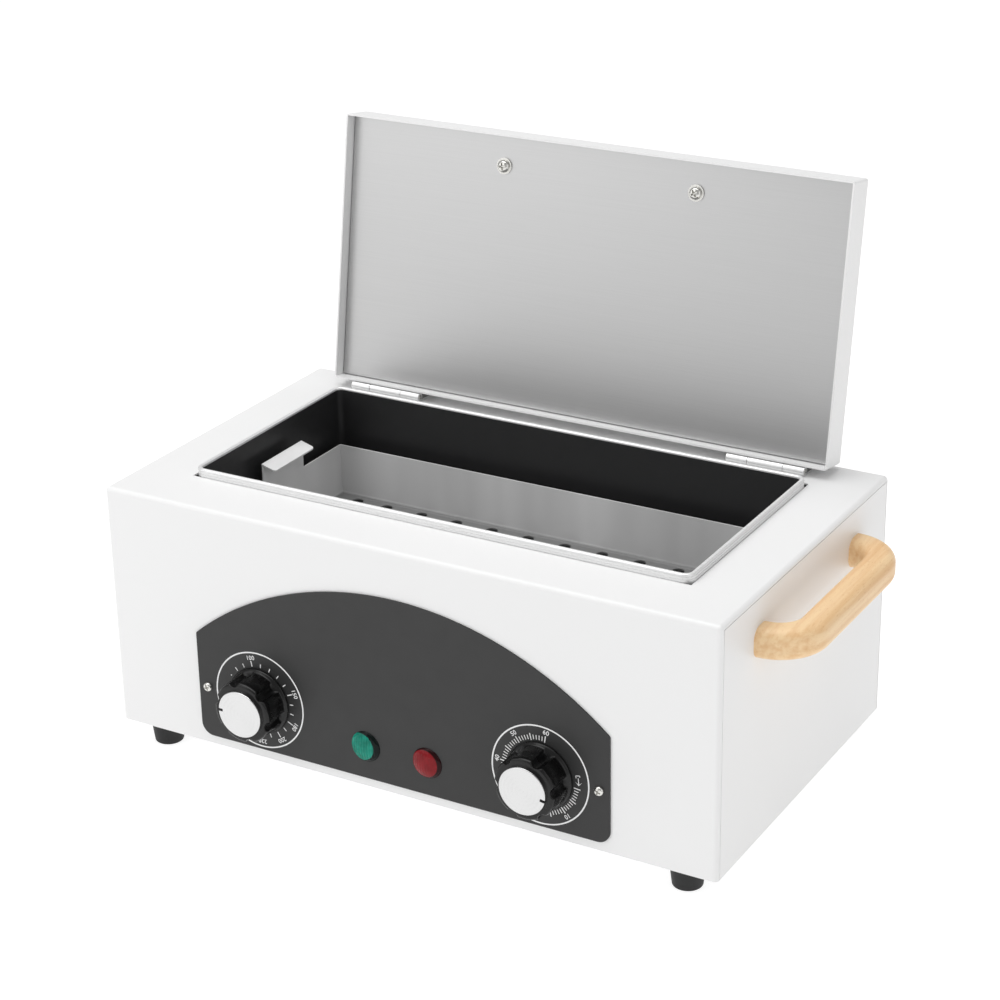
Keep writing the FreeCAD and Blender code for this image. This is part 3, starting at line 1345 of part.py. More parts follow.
def make_inlet():
    """A fused power inlet in the rear wall, with its contacts, screws, drawer and fuse."""
    body = new_body("inlet_housing")
    flange = sketch_on(body, "inlet_flange", "XZ", "half_depth")
    rectangle(flange, *inlet_outline("inlet_flange_width / 2", "inlet_flange_tall / 2"))
    pad(body, flange, "inlet_flange_thick", reverse=True)
    round_edges(body, "inlet_flange_round", lambda edge: runs_along(edge, "y"))
    case = sketch_on(body, "inlet_case", "XZ", "half_depth")
    rectangle(case, *inlet_outline("inlet_body_width / 2", "inlet_body_tall / 2"))
    pad(body, case, "inlet_body_depth")
    socket = sketch_on(body, "inlet_socket", "XZ", "inlet_face")
    wide = "socket_width / 2"
    polygon(
        socket,
        (
            ("inlet_x - %s + socket_bevel" % wide, "socket_low"),
            ("inlet_x + %s - socket_bevel" % wide, "socket_low"),
            ("inlet_x + " + wide, "socket_low + socket_bevel"),
            ("inlet_x + " + wide, "socket_high"),
            ("inlet_x - " + wide, "socket_high"),
            ("inlet_x - " + wide, "socket_low + socket_bevel"),
        ),
    )
    pocket(body, socket, "socket_depth", reverse=True)
    drawer_room = sketch_on(body, "inlet_drawer_room", "XZ", "inlet_face")
    half = "drawer_width / 2 + drawer_gap"
    rectangle(
        drawer_room,
        ("inlet_x - (%s)" % half, "inlet_x + %s" % half),
        ("drawer_low - drawer_gap", "drawer_high + drawer_gap"),
    )
    pocket(body, drawer_room, "drawer_depth + drawer_gap", reverse=True)
    contacts = (
        ("left", "inlet_x - contact_pitch", "contact_z"),
        ("right", "inlet_x + contact_pitch", "contact_z"),
        ("middle", "inlet_x", "contact_z - contact_drop"),
    )
    slits = sketch_on(body, "inlet_contact_slits", "XZ", "inlet_face - socket_depth")
    pins = []
    for name, x, z in contacts:
        sides = (x + " - contact_thick / 2", x + " + contact_thick / 2")
        heights = (z + " - contact_width / 2", z + " + contact_width / 2")
        rectangle(slits, sides, heights)
        tail = "half_depth - inlet_body_depth - contact_tail"
        pins.append(block("inlet_pin_" + name, sides, (tail, "inlet_face - contact_set_back"), heights))
    pocket(body, slits, "inlet_body_depth", reverse=True)
    group("inlet_pins", pins)
    screw_holes = sketch_on(body, "inlet_screw_holes", "XZ", "inlet_face")
    screws = []
    for sign in "-+":
        centre = ("inlet_x %s inlet_screw_span / 2" % sign, "inlet_z")
        circle(screw_holes, centre, "screw_radius + hole_gap")
        name = "inlet_screw_" + ("left" if sign == "-" else "right")
        screws.append(pan_screw(name, "screw", "y", 1, "inlet_face", "inlet_screw_length", centre))
    pocket(body, screw_holes, "2 * inlet_flange_thick", reverse=True)
    group("inlet_screws", screws)
    make_fuse_drawer()


def make_fuse_drawer():
    """The drawer of the fuse with its finger edge, and the fuse in it."""
    half = "drawer_width / 2"
    slide = block(
        "drawer_block",
        ("inlet_x - " + half, "inlet_x + " + half),
        ("drawer_back", "inlet_face + drawer_grip"),
        ("drawer_low", "drawer_high"),
    )
    cradle = "fuse_radius + fuse_gap"
    trough = block(
        "drawer_trough",
        ("inlet_x - (%s)" % cradle, "inlet_x + %s" % cradle),
        ("drawer_back + casing_sheet", "drawer_back + casing_sheet + fuse_length + 2 * fuse_gap"),
        ("fuse_z - (%s)" % cradle, "drawer_high + overrun"),
    )
    keep(cut("fuse_drawer", slide, [trough]), "fuse_drawer")
    start = "drawer_back + casing_sheet + fuse_gap"
    centre = ("inlet_x", "fuse_z")
    glass = rod("fuse_glass", "y", "fuse_radius - fuse_gap", start, start + " + fuse_length", centre)
    near_cap = rod("fuse_cap_near", "y", "fuse_radius", start, start + " + fuse_cap_length", centre)
    far_start = start + " + fuse_length - fuse_cap_length"
    far_cap = rod("fuse_cap_far", "y", "fuse_radius", far_start, start + " + fuse_length", centre)
    keep(fuse("fuse", [glass, near_cap, far_cap]), "fuse")


def make_base_fittings():
    """The terminal block and the earth stud on the base."""
    ceramic = block(
        "terminal_blank",
        ("-block_length / 2", "block_length / 2"),
        ("block_y - block_width / 2", "block_y + block_width / 2"),
        ("base_top", "base_top + block_tall"),
    )
    wells = []
    for number in range(int(reading("well_count"))):
        x = "(%d - (well_count - 1) / 2) * well_pitch" % number
        for row, side in enumerate("-+"):
            centre = (x, "block_y %s block_width / 4" % side)
            name = "terminal_well_%d_%d" % (number, row)
            top = "base_top + block_tall"
            wells.append(rod(name, "z", "well_radius", top + " - well_depth", top + " + overrun", centre))
    keep(cut("terminal_block", ceramic, wells), "terminal_block")
    centre = ("earth_x", "earth_y")
    stud = rod("earth_rod", "z", "bolt_radius", "base_under", "base_top + earth_length", centre)
    nut_top, bore = "base_top + bolt_nut_height", "bolt_radius + hole_gap"
    hexagon = nut("earth_nut", "z", "bolt_nut_radius", "base_top", nut_top, centre, bore)
    group("earth_stud", [stud, hexagon])


# Lid


def make_lid_shell():
    """The lid's painted skin, a shallow pan."""
    body = new_body("lid_shell")
    outline = sketch_on(body, "lid_outline", "XY", "lid_skirt")
    rectangle(outline, ("-lid_half", "lid_half"), ("lid_front", "lid_back"))
    pad(body, outline, "lid_height")
    round_edges(body, "lid_bend", lambda edge: runs_along(edge, "z") or lies_at(edge, "z", "lid_top"))
    hollow = sketch_on(body, "lid_hollow", "XY", "lid_skirt")
    inside = "lid_half - lid_sheet"
    rectangle(hollow, ("-(%s)" % inside, inside), ("lid_front + lid_sheet", "lid_back - lid_sheet"))
    pocket(body, hollow, "lid_height - lid_sheet", reverse=True)
    holes = sketch_on(body, "lid_bolt_holes", "XY", "lid_top")
    lid_bolt_circles(holes)
    pocket(body, holes, "2 * lid_sheet")
    rivets = sketch_on(body, "lid_rivet_holes", "XZ", "lid_back")
    for name, middle in hinge_middles():
        for offset in hinge_rivet_offsets():
            centre = (middle + " + " + offset, "hinge_z + rivet_reach")
            circle(rivets, centre, "rivet_radius + hole_gap")
    pocket(body, rivets, "2 * lid_sheet", reverse=True)
    open_with_lid(body)


def lid_bolt_places():
    """Centres of the two screws of the lid handle."""
    return [("lid_bolt_shift %s bow_span / 2" % sign, "lid_bolt_y") for sign in "-+"]


def lid_bolt_circles(sketch):
    """Holes for the two screws of the lid handle."""
    for centre in lid_bolt_places():
        circle(sketch, centre, "bolt_radius + hole_gap")
    return sketch


def make_lid_liner():
    """The stainless liner, a plate with a low lip folded up into the lid."""
    body = new_body("lid_liner")
    outline = sketch_on(body, "liner_outline", "XY", "liner_face")
    rectangle(outline, ("-liner_half", "liner_half"), ("liner_front", "liner_back"))
    pad(body, outline, "liner_lip + liner_sheet")
    round_edges(body, "liner_sheet", lambda edge: runs_along(edge, "z") or lies_at(edge, "z", "liner_face"))
    hollow = sketch_on(body, "liner_hollow", "XY", "liner_face + liner_sheet")
    inside = "liner_half - liner_sheet"
    rows = ("liner_front + liner_sheet", "liner_back - liner_sheet")
    rectangle(hollow, ("-(%s)" % inside, inside), rows)
    pocket(body, hollow, "2 * liner_lip", reverse=True)
    holes = sketch_on(body, "liner_bolt_holes", "XY", "liner_face")
    lid_bolt_circles(holes)
    pocket(body, holes, "2 * liner_sheet", reverse=True)
    open_with_lid(body)


def make_lid_insulation():
    """The board of mineral wool between the liner and the lid's skin."""
    half = "liner_half - liner_sheet - wool_margin"
    low, high = "liner_face + liner_sheet", "lid_top - lid_sheet"
    board = block(
        "lid_wool_board",
        ("-(%s)" % half, half),
        ("liner_front + liner_sheet + wool_margin", "liner_back - liner_sheet - wool_margin"),
        (low, high),
    )
    holes = []
    ends = (low + " - overrun", high + " + overrun")
    for number, centre in enumerate(lid_bolt_places(), start=1):
        holes.append(rod("lid_wool_hole_%d" % number, "z", "bolt_radius + fit_gap", *ends, centre))
    open_with_lid(keep(cut("lid_insulation", board, holes), "lid_insulation"))


def make_lid_bolts():
    """Screws and washers that hold the handle through the liner and the lid."""
    bolts, washers = [], []
    for number, centre in enumerate(lid_bolt_places(), start=1):
        length = "lid_top - liner_face + washer_thick + bow_hole_depth - 2 * hole_gap"
        seat = "liner_face - washer_thick"
        bolts.append(pan_screw("lid_bolt_%d" % number, "bolt", "z", -1, seat, length, centre))
        disc = rod("lid_washer_disc_%d" % number, "z", "washer_radius", seat, "liner_face", centre)
        hole = rod(
            "lid_washer_hole_%d" % number,
            "z",
            "bolt_radius + hole_gap",
            seat + " - overrun",
            "liner_face + overrun",
            centre,
        )
        washers.append(cut("lid_washer_%d" % number, disc, [hole]))
    open_with_lid(group("lid_handle_screws", bolts))
    open_with_lid(group("lid_handle_washers", washers))


# Handles


def make_bow(label):
    """A wooden bow: two feet on the XY plane, one at the origin and one along +X, rising along +Z."""
    body = new_body(label)
    section = sketch_on(body, label + "_section", "XY", "0")
    half = "bow_grip / 2"
    flat = half + " - bow_round"
    radius = reading("bow_round")
    corners = (("", "-", 270), ("", "", 0), ("-", "", 90), ("-", "-", 180))
    runs = (
        (("-(%s)" % flat, "-" + half), (flat, "-" + half)),
        ((half, "-(%s)" % flat), (half, flat)),
        ((flat, half), ("-(%s)" % flat, half)),
        (("-" + half, flat), ("-" + half, "-(%s)" % flat)),
    )
    for (start, end), (x_sign, y_sign, angle) in zip(runs, corners):
        section.addGeometry(Part.LineSegment(spot(start), spot(end)))
        centre = spot(("%s(%s)" % (x_sign, flat), "%s(%s)" % (y_sign, flat)))
        corner = Part.Circle(centre, Vector(0, 0, 1), radius)
        section.addGeometry(Part.ArcOfCircle(corner, math.radians(angle), math.radians(angle + 90)))
    for index in range(8):
        section.addConstraint(Sketcher.Constraint("Tangent", index, 2, (index + 1) % 8, 1))
    for index, kind, way, text in (
        (0, "Horizontal", "DistanceY", "-" + half),
        (2, "Vertical", "DistanceX", half),
        (4, "Horizontal", "DistanceY", half),
        (6, "Vertical", "DistanceX", "-" + half),
    ):
        section.addConstraint(Sketcher.Constraint(kind, index))
        fix(section, way, (-1, 1, index, 1), text)
    for index in (1, 3, 5, 7):
        fix(section, "Radius", (index,), "bow_round")
    path = sketch_on(body, label + "_path", "XZ", "0")
    crest = "bow_rise - bow_grip / 2"
    spring = crest + " - bow_bend"
    far = "bow_span - bow_bend"
    bend = reading("bow_bend")
    path.addGeometry(Part.LineSegment(spot(("0", "0")), spot(("0", spring))))
    near_turn = Part.Circle(spot(("bow_bend", spring)), Vector(0, 0, 1), bend)
    path.addGeometry(Part.ArcOfCircle(near_turn, math.pi / 2, math.pi))
    path.addGeometry(Part.LineSegment(spot(("bow_bend", crest)), spot((far, crest))))
    far_turn = Part.Circle(spot((far, spring)), Vector(0, 0, 1), bend)
    path.addGeometry(Part.ArcOfCircle(far_turn, 0, math.pi / 2))
    path.addGeometry(Part.LineSegment(spot(("bow_span", spring)), spot(("bow_span", "0"))))
    for first, end, second, start in ((0, 2, 1, 2), (1, 1, 2, 1), (2, 2, 3, 2), (3, 1, 4, 1)):
        path.addConstraint(Sketcher.Constraint("Tangent", first, end, second, start))
    for kind, index in (("Vertical", 0), ("Horizontal", 2), ("Vertical", 4)):
        path.addConstraint(Sketcher.Constraint(kind, index))
    path.addConstraint(Sketcher.Constraint("Coincident", 0, 1, -1, 1))
    path.addConstraint(Sketcher.Constraint("PointOnObject", 4, 2, -1))
    fix(path, "Radius", (1,), "bow_bend")
    fix(path, "Radius", (3,), "bow_bend")
    fix(path, "DistanceX", (-1, 1, 4, 2), "bow_span")
    fix(path, "DistanceY", (-1, 1, 2, 1), crest)
    DOCUMENT.recompute()
    pipe = feature(body, "AdditivePipe", label + "_bow", Profile=section)
    pipe.Spine = (path, ["Edge%d" % (index + 1) for index in range(5)])
    settle(body, pipe)
    holes = sketch_on(body, label + "_holes", "XY", "0")
    circle(holes, ("0", "0"), "bolt_radius + hole_gap")
    circle(holes, ("bow_span", "0"), "bolt_radius + hole_gap")
    pocket(body, holes, "bow_hole_depth", reverse=True)
    return body


def make_handles():
    """A bow on each side of the casing and one on the lid, with the side screws."""
    screws = []
    sides = (
        ("left", "-", FreeCAD.Rotation(Vector(0, 1, 0), Vector(0, 0, -1), Vector(-1, 0, 0), "ZXY")),
        ("right", "", FreeCAD.Rotation(Vector(0, 1, 0), Vector(0, 0, 1), Vector(1, 0, 0), "ZXY")),
    )
    for name, sign, rotation in sides:
        bow = make_bow("side_handle_" + name)
        bow.Placement = FreeCAD.Placement(Vector(), rotation)
        bind(bow, "Placement.Base.x", sign + "half_width")
        bind(bow, "Placement.Base.y", "-bow_span / 2")
        bind(bow, "Placement.Base.z", "side_bow_z")
        seat = sign + "pan_face"
        for way in "-+":
            centre = ("%s bow_span / 2" % way, "side_bow_z")
            side = 1 if sign else -1
            screw_name = "side_handle_screw_%s_%s" % (name, "front" if way == "-" else "rear")
            length = "half_width - pan_face + bow_hole_depth - 2 * hole_gap"
            screws.append(pan_screw(screw_name, "bolt", "x", side, seat, length, centre))
    group("side_handle_screws", screws)
    lid_bow = make_bow("lid_handle")
    open_with_lid(lid_bow, "lid_bolt_shift - bow_span / 2", "lid_bolt_y", "lid_top")


# Hinges


def knuckle(name, middle, start, end, radius="knuckle_radius"):
    """A length of the hinge barrel, from start to end beside the hinge's middle."""
    ends = ("%s + %s" % (middle, start), "%s + %s" % (middle, end))
    return rod(name, "x", radius, *ends, ("hinge_y", "hinge_z"))


def make_hinges():
    """Two butt hinges: a leaf on the casing, a leaf on the lid's back, a pin and rivets."""
    pins, base_rivets, lid_rivets = [], [], []
    half = "hinge_length / 2"
    inner = "(hinge_length / 2 - knuckle_length)"
    clear = "knuckle_radius + hinge_gap"
    for side, middle in hinge_middles():
        name = "hinge_%s_base" % side
        leaf = block(
            name + "_plate",
            ("%s - %s" % (middle, half), "%s + %s" % (middle, half)),
            ("hinge_y", "hinge_y + leaf_reach"),
            ("casing_top", "casing_top + leaf_thick"),
        )
        barrel = [knuckle(name + "_near", middle, "-" + half, "-" + inner)]
        barrel.append(knuckle(name + "_far", middle, inner, half))
        past = ("-%s - overrun" % half, half + " + overrun")
        bore = knuckle(name + "_bore", middle, *past, "pin_radius + pin_play")
        room = block(
            name + "_room",
            ("%s - %s" % (middle, inner), "%s + %s" % (middle, inner)),
            ("hinge_y - knuckle_radius - overrun", "hinge_y + " + clear),
            ("casing_top - overrun", "casing_top + overrun"),
        )
        tools = [bore, room]
        for number, offset in enumerate(hinge_rivet_offsets(), start=1):
            centre = ("%s + %s" % (middle, offset), "hinge_y + rivet_reach")
            top, bottom = "casing_top + leaf_thick", "casing_top"
            radii = ("rivet_radius", "rivet_head_radius")
            tools.append(taper("%s_sink_%d" % (name, number), "z", radii, bottom, top, centre))
            rivet = "%s_rivet_%d" % (name, number)
            head = taper(rivet + "_head", "z", radii, bottom, top, centre)
            shank = rod(rivet + "_shank", "z", "rivet_radius", "ceiling", bottom, centre)
            tail = rod(rivet + "_tail", "z", "rivet_head_radius", "ceiling - rivet_tail", "ceiling", centre)
            base_rivets.append(fuse(rivet, [head, shank, tail]))
        keep(cut(name + "_leaf", fuse(name + "_blank", [leaf] + barrel), tools), name + "_leaf")
        ends = ("-%s - pin_proud" % half, half + " + pin_proud")
        pins.append(knuckle("hinge_%s_pin" % side, middle, *ends, "pin_radius"))
        lid_rivets += make_lid_leaf(side, middle, half, inner, clear)
    group("hinge_pins", pins)
    group("hinge_base_rivets", base_rivets)
    open_with_lid(group("hinge_lid_rivets", lid_rivets))


def make_lid_leaf(side, middle, half, inner, clear):
    """The leaf on the lid's back with the middle knuckle; returns its rivets."""
    name = "hinge_%s_lid" % side
    leaf = block(
        name + "_plate",
        ("%s - %s" % (middle, half), "%s + %s" % (middle, half)),
        ("lid_back", "lid_back + leaf_thick"),
        ("hinge_z", "hinge_z + leaf_reach"),
    )
    shorter = inner + " - hinge_gap"
    barrel = knuckle(name + "_middle", middle, "-(%s)" % shorter, shorter)
    left, right = "-%s - overrun" % half, half + " + overrun"
    tools = [knuckle(name + "_bore", middle, left, right, "pin_radius + pin_play")]
    for way, start, end in (("near", left, "-(%s)" % shorter), ("far", shorter, right)):
        tools.append(
            block(
                "%s_room_%s" % (name, way),
                ("%s + %s" % (middle, start), "%s + %s" % (middle, end)),
                ("lid_back - overrun", "lid_back + overrun"),
                ("hinge_z - overrun", "hinge_z + " + clear),
            )
        )
    rivets = []
    for number, offset in enumerate(hinge_rivet_offsets(), start=1):
        centre = ("%s + %s" % (middle, offset), "hinge_z + rivet_reach")
        radii = ("rivet_radius", "rivet_head_radius")
        outside = "lid_back + leaf_thick"
        tools.append(taper("%s_sink_%d" % (name, number), "y", radii, "lid_back", outside, centre))
        rivet = "%s_rivet_%d" % (name, number)
        head = taper(rivet + "_head", "y", radii, "lid_back", outside, centre)
        shank = rod(rivet + "_shank", "y", "rivet_radius", "lid_back - lid_sheet", "lid_back", centre)
        tail_start = "lid_back - lid_sheet - rivet_tail"
        tail = rod(rivet + "_tail", "y", "rivet_head_radius", tail_start, "lid_back - lid_sheet", centre)
        rivets.append(fuse(rivet, [head, shank, tail]))
    blank = fuse(name + "_blank", [leaf, barrel])
    open_with_lid(keep(cut(name + "_leaf", blank, tools), name + "_leaf"))
    return rivets


# Tray


def make_tray():
    """The lift-out tray: folded sheet with holes, pressed feet and two lifting tabs."""
    body = new_body("tray")
    outline = sketch_on(body, "tray_outline", "XY", "tray_under")
    rectangle(outline, ("-tray_half", "tray_half"), ("tray_front", "tray_back"))
    pad(body, outline, "tray_top - tray_under")
    hollow = sketch_on(body, "tray_hollow", "XY", "tray_top")
    inside = "tray_half - tray_sheet"
    rectangle(hollow, ("-(%s)" % inside, inside), ("tray_front + tray_sheet", "tray_back - tray_sheet"))
    pocket(body, hollow, "tray_top - tray_floor")
    round_edges(body, "tray_bend - tray_sheet", lambda edge: lies_at(edge, "z", "tray_floor"))
    round_edges(body, "tray_sheet", lambda edge: upright_at(edge, "tray_half"))
    round_edges(body, "tray_bend", lambda edge: lies_at(edge, "z", "tray_under"))
    feet = sketch_on(body, "tray_feet", "XY", "tray_under")
    hollows = sketch_on(body, "tray_foot_hollows", "XY", "tray_floor")
    for side in "-+":
        for edge_y, way in (("tray_front", "+"), ("tray_back", "-")):
            centre = ("%s (tray_half - dimple_inset)" % side, "%s %s dimple_inset" % (edge_y, way))
            circle(feet, centre, "dimple_radius")
            circle(hollows, centre, "dimple_radius - tray_sheet")
    pad(body, feet, "tray_lift - tray_rest_gap", reverse=True)
    pocket(body, hollows, "tray_lift - tray_rest_gap")
    holes = sketch_on(body, "tray_holes", "XY", "tray_floor")
    pairs = range(int(reading("tray_hole_pairs")))
    places = ["(2 * %d + 1) * tray_hole_pitch / 2" % number for number in pairs]
    places.append("tray_half - tray_sheet - tray_hole_end")
    rows = ("tray_back - tray_sheet - tray_hole_inset", "tray_front + tray_sheet + tray_hole_inset")
    for x in places:
        for side in "-+":
            for y in rows:
                circle(holes, ("%s (%s)" % (side, x), y), "tray_hole_radius")
    pocket(body, holes, "2 * tray_sheet")
    for name, sign, edge in (("left", "-", "-tray_half"), ("right", "", "tray_half")):
        inward = "+" if sign else "-"
        strip = sketch_on(body, "tray_tab_" + name, "XZ", "tray_y + tab_width / 2")
        tab_top = "tray_top + tab_rise"
        skin = "%s %s tray_sheet" % (edge, inward)
        reach = "%s %s (tray_sheet + tab_flange)" % (edge, inward)
        slope = "tab_drop * tray_sheet / (tray_sheet + tab_flange)"
        polygon(
            strip,
            (
                (edge, "tray_top"),
                (edge, tab_top),
                (reach, tab_top + " - tab_drop"),
                (reach, tab_top + " - tab_drop - tray_sheet"),
                (skin, "%s - tray_sheet - %s" % (tab_top, slope)),
                (skin, "tray_top"),
            ),
        )
        pad(body, strip, "tab_width")
        free = lambda item: runs_along(item, "z") and lies_at(item, "x", reach)
        round_edges(body, "tab_corner", free)


def check_and_write():
    """Test every object and write each sub-part as a STEP file."""
    DOCUMENT.recompute()
    for item in DOCUMENT.Objects:
        if "Invalid" in item.State or "Error" in item.State:
            raise RuntimeError("%s failed: %s" % (item.Name, item.State))
    for label, item in PARTS.items():
        if item.Shape.isNull() or not item.Shape.isValid() or not item.Shape.Solids:
            raise RuntimeError("%s has no sound shape" % label)
    os.makedirs("parts", exist_ok=True)
    for label, item in PARTS.items():
        item.Shape.exportStep("parts/%s.step" % label)
    print("%d sub-parts written" % len(PARTS))


make_outer_shell()
make_side_panel("side_panel_right", 0)
make_side_panel("side_panel_left", 180)
make_base_plate()
make_base_fixings()
make_feet()
make_tank_rim()
make_inner_tank()
make_chamber_jacket()
make_chamber_insulation()
make_heater()
make_front_panel()
make_lamps()
make_controls()
make_knob("temperature_knob", "temperature_x", "temperature_pointer", "temperature_flute_turn")
make_knob("timer_knob", "timer_x", "timer_pointer", "timer_flute_turn")
make_capillary()
make_inlet()
make_base_fittings()
make_lid_shell()
make_lid_liner()
make_lid_insulation()
make_lid_bolts()
make_handles()
make_hinges()
make_tray()
check_and_write()
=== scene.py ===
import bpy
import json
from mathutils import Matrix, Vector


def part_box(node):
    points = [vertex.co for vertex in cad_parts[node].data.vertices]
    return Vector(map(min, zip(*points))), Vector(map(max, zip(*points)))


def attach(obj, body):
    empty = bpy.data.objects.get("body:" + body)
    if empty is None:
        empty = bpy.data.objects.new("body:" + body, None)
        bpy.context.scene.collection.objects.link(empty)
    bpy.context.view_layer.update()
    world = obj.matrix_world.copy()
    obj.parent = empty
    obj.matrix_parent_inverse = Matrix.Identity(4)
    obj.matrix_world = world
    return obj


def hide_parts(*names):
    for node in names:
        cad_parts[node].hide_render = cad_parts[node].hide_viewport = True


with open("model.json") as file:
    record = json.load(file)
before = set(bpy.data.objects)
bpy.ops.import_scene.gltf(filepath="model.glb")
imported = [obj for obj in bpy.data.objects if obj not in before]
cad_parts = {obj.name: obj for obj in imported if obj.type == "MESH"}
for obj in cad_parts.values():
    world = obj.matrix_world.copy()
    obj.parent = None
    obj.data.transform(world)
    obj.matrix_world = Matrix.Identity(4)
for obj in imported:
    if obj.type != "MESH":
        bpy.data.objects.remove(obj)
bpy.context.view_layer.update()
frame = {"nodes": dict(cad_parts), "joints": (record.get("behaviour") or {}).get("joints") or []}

"""A bench dry heat sterilizer: finishes, printed dials, knobs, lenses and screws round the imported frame."""

import json
import logging
import math
from dataclasses import dataclass, field, replace
from enum import Enum
from typing import Callable, Mapping, Sequence

import bpy
from mathutils import Matrix, Vector

LOG = logging.getLogger("sterilizer")
MM = 0.001
PICTURE_PX = 1000
WELD_MM = 0.002
FACING = Matrix.Rotation(math.pi / 2, 4, "X")  # from upright to facing the front
NOISE_REACH = (0.3, 0.7)  # where most values of a noise lie
WAVE_FACTOR = 20  # the wave texture's own factor on its coordinate
MIX_FIRST, MIX_SECOND, MIX_RESULT = 6, 7, 2  # colour sockets of the mix node
SRGB_KNEE, SRGB_SLOPE, SRGB_OFFSET, SRGB_POWER = 0.04045, 12.92, 0.055, 2.4

Colour = tuple[float, float, float, float]
Point = tuple[float, float, float]
Pair = tuple[float, float]
Socket = bpy.types.NodeSocket
Paint = Socket | str
HeightAt = Callable[[float, float], float]


class Body(Enum):
    """The bodies that pieces ride on."""

    HOUSING = "housing"
    LID = "lid"
    TEMPERATURE = "temperature_dial"
    TIMER = "timer_dial"


class Grain(Enum):
    """The axis that a grain or a brushing runs along."""

    X = 0
    Y = 1
    Z = 2


# Colour and node tools


def linear(code: str) -> Colour:
    """Turn an sRGB hex colour to linear.

    Args:
        code: The colour, such as "#F0F0EE".

    Returns:
        Red, green, blue and an alpha of one.
    """
    shares = [int(code[start : start + 2], 16) / 255 for start in (1, 3, 5)]
    curved = [((share + SRGB_OFFSET) / (1 + SRGB_OFFSET)) ** SRGB_POWER for share in shares]
    pairs = zip(shares, curved)
    red, green, blue = (share / SRGB_SLOPE if share <= SRGB_KNEE else curve for share, curve in pairs)
    return (red, green, blue, 1.0)


def add_node(
    tree: bpy.types.NodeTree,
    kind: str,
    links: Mapping[str, Socket] | None = None,
    sockets: Mapping[str, object] | None = None,
    **settings: object,
) -> bpy.types.Node:
    """Add a node with its settings and links.

    Args:
        tree: The material's node tree.
        kind: The node's type name.
        links: Output sockets to join to the named inputs.
        sockets: Values for the named inputs.
        **settings: Properties of the node.

    Returns:
        The new node.
    """
    node = tree.nodes.new(kind)
    for name, value in settings.items():
        setattr(node, name, value)
    for name, value in (sockets or {}).items():
        node.inputs[name].default_value = value
    for name, socket in (links or {}).items():
        tree.links.new(socket, node.inputs[name])
    return node


def per_metre(size_mm: float) -> float:
    """The pattern scale that repeats once in a size in millimetres."""
    return 1.0 / (size_mm * MM)


# Finishes


@dataclass(frozen=True)
class Surface:
    """A material's nodes, to which a finish adds its detail.

    Args:
        tree: The node tree.
        shader: Its principled shader.
        place: Object coordinates of the surface.
    """

    tree: bpy.types.NodeTree
    shader: bpy.types.Node
    place: Socket

    def join(self, name: str, source: Socket) -> None:
        """Lead a value to one of the shader's inputs."""
        self.tree.links.new(source, self.shader.inputs[name])

    def mapped(self, sockets: Mapping[str, object]) -> Socket:
        """The coordinates, moved or scaled."""
        return add_node(self.tree, "ShaderNodeMapping", {"Vector": self.place}, sockets).outputs["Vector"]

    def ranged(self, value: Socket, source: Pair, target: Pair = (0.0, 1.0)) -> Socket:
        """Map one range of values to another."""
        sockets = dict(zip(("From Min", "From Max", "To Min", "To Max"), source + target))
        return add_node(self.tree, "ShaderNodeMapRange", {"Value": value}, sockets).outputs["Result"]

    def speckle(self, size_mm: float, octaves: float = 2.0) -> Socket:
        """A fine even noise with grains of one size."""
        sockets = {"Scale": per_metre(size_mm), "Detail": octaves}
        return add_node(self.tree, "ShaderNodeTexNoise", {"Vector": self.place}, sockets).outputs["Fac"]

    def streaks(self, grain: Grain, fine_mm: float, long_mm: float) -> Socket:
        """Noise drawn out along an axis.

        Args:
            grain: The axis that the streaks run along.
            fine_mm: Width of a streak.
            long_mm: Length of a streak.

        Returns:
            The noise's factor.
        """
        scale = [per_metre(fine_mm)] * 3
        scale[grain.value] = per_metre(long_mm)
        drawn = self.mapped({"Scale": scale})
        sockets = {"Scale": 1.0, "Detail": 3.0}
        return add_node(self.tree, "ShaderNodeTexNoise", {"Vector": drawn}, sockets).outputs["Fac"]

    def gloss(self, factor: Socket, mean: float, unevenness: float) -> None:
        """Let the roughness follow a noise, to both sides of its mean."""
        self.join("Roughness", self.ranged(factor, NOISE_REACH, (mean - unevenness, mean + unevenness)))

    def emboss(self, height: Socket, relief_mm: float) -> None:
        """Press a height pattern in the surface.

        Args:
            height: The pattern.
            relief_mm: Its depth.
        """
        sockets = {"Strength": 1.0, "Distance": relief_mm * MM}
        bump = add_node(self.tree, "ShaderNodeBump", {"Height": height}, sockets)
        self.join("Normal", bump.outputs["Normal"])

    def tint(self, factor: Socket, low: str, high: str, share: Pair) -> Socket:
        """Map a noise to colours between two.

        Args:
            factor: The noise.
            low: Colour at the low end as sRGB hex.
            high: Colour at the high end as sRGB hex.
            share: Where on the noise the two colours lie.

        Returns:
            The colour.
        """
        ramp = add_node(self.tree, "ShaderNodeValToRGB", {"Fac": factor})
        for stop, where, code in zip(ramp.color_ramp.elements, share, (low, high)):
            stop.position = where
            stop.color = linear(code)
        return ramp.outputs["Color"]

    def blend(self, factor: Socket | float, first: Paint, second: Paint, way: str = "MIX") -> Socket:
        """Blend two colours, each from a node or as sRGB hex.

        Args:
            factor: Share of the second colour.
            first: The first colour.
            second: The second colour.
            way: The node's way of blending.

        Returns:
            The blended colour.
        """
        mixed = add_node(self.tree, "ShaderNodeMix", data_type="RGBA", blend_type=way)
        for key, value in (("Factor", factor), (MIX_FIRST, first), (MIX_SECOND, second)):
            if isinstance(value, Socket):
                self.tree.links.new(value, mixed.inputs[key])
            else:
                mixed.inputs[key].default_value = linear(value) if isinstance(value, str) else value
        return mixed.outputs[MIX_RESULT]


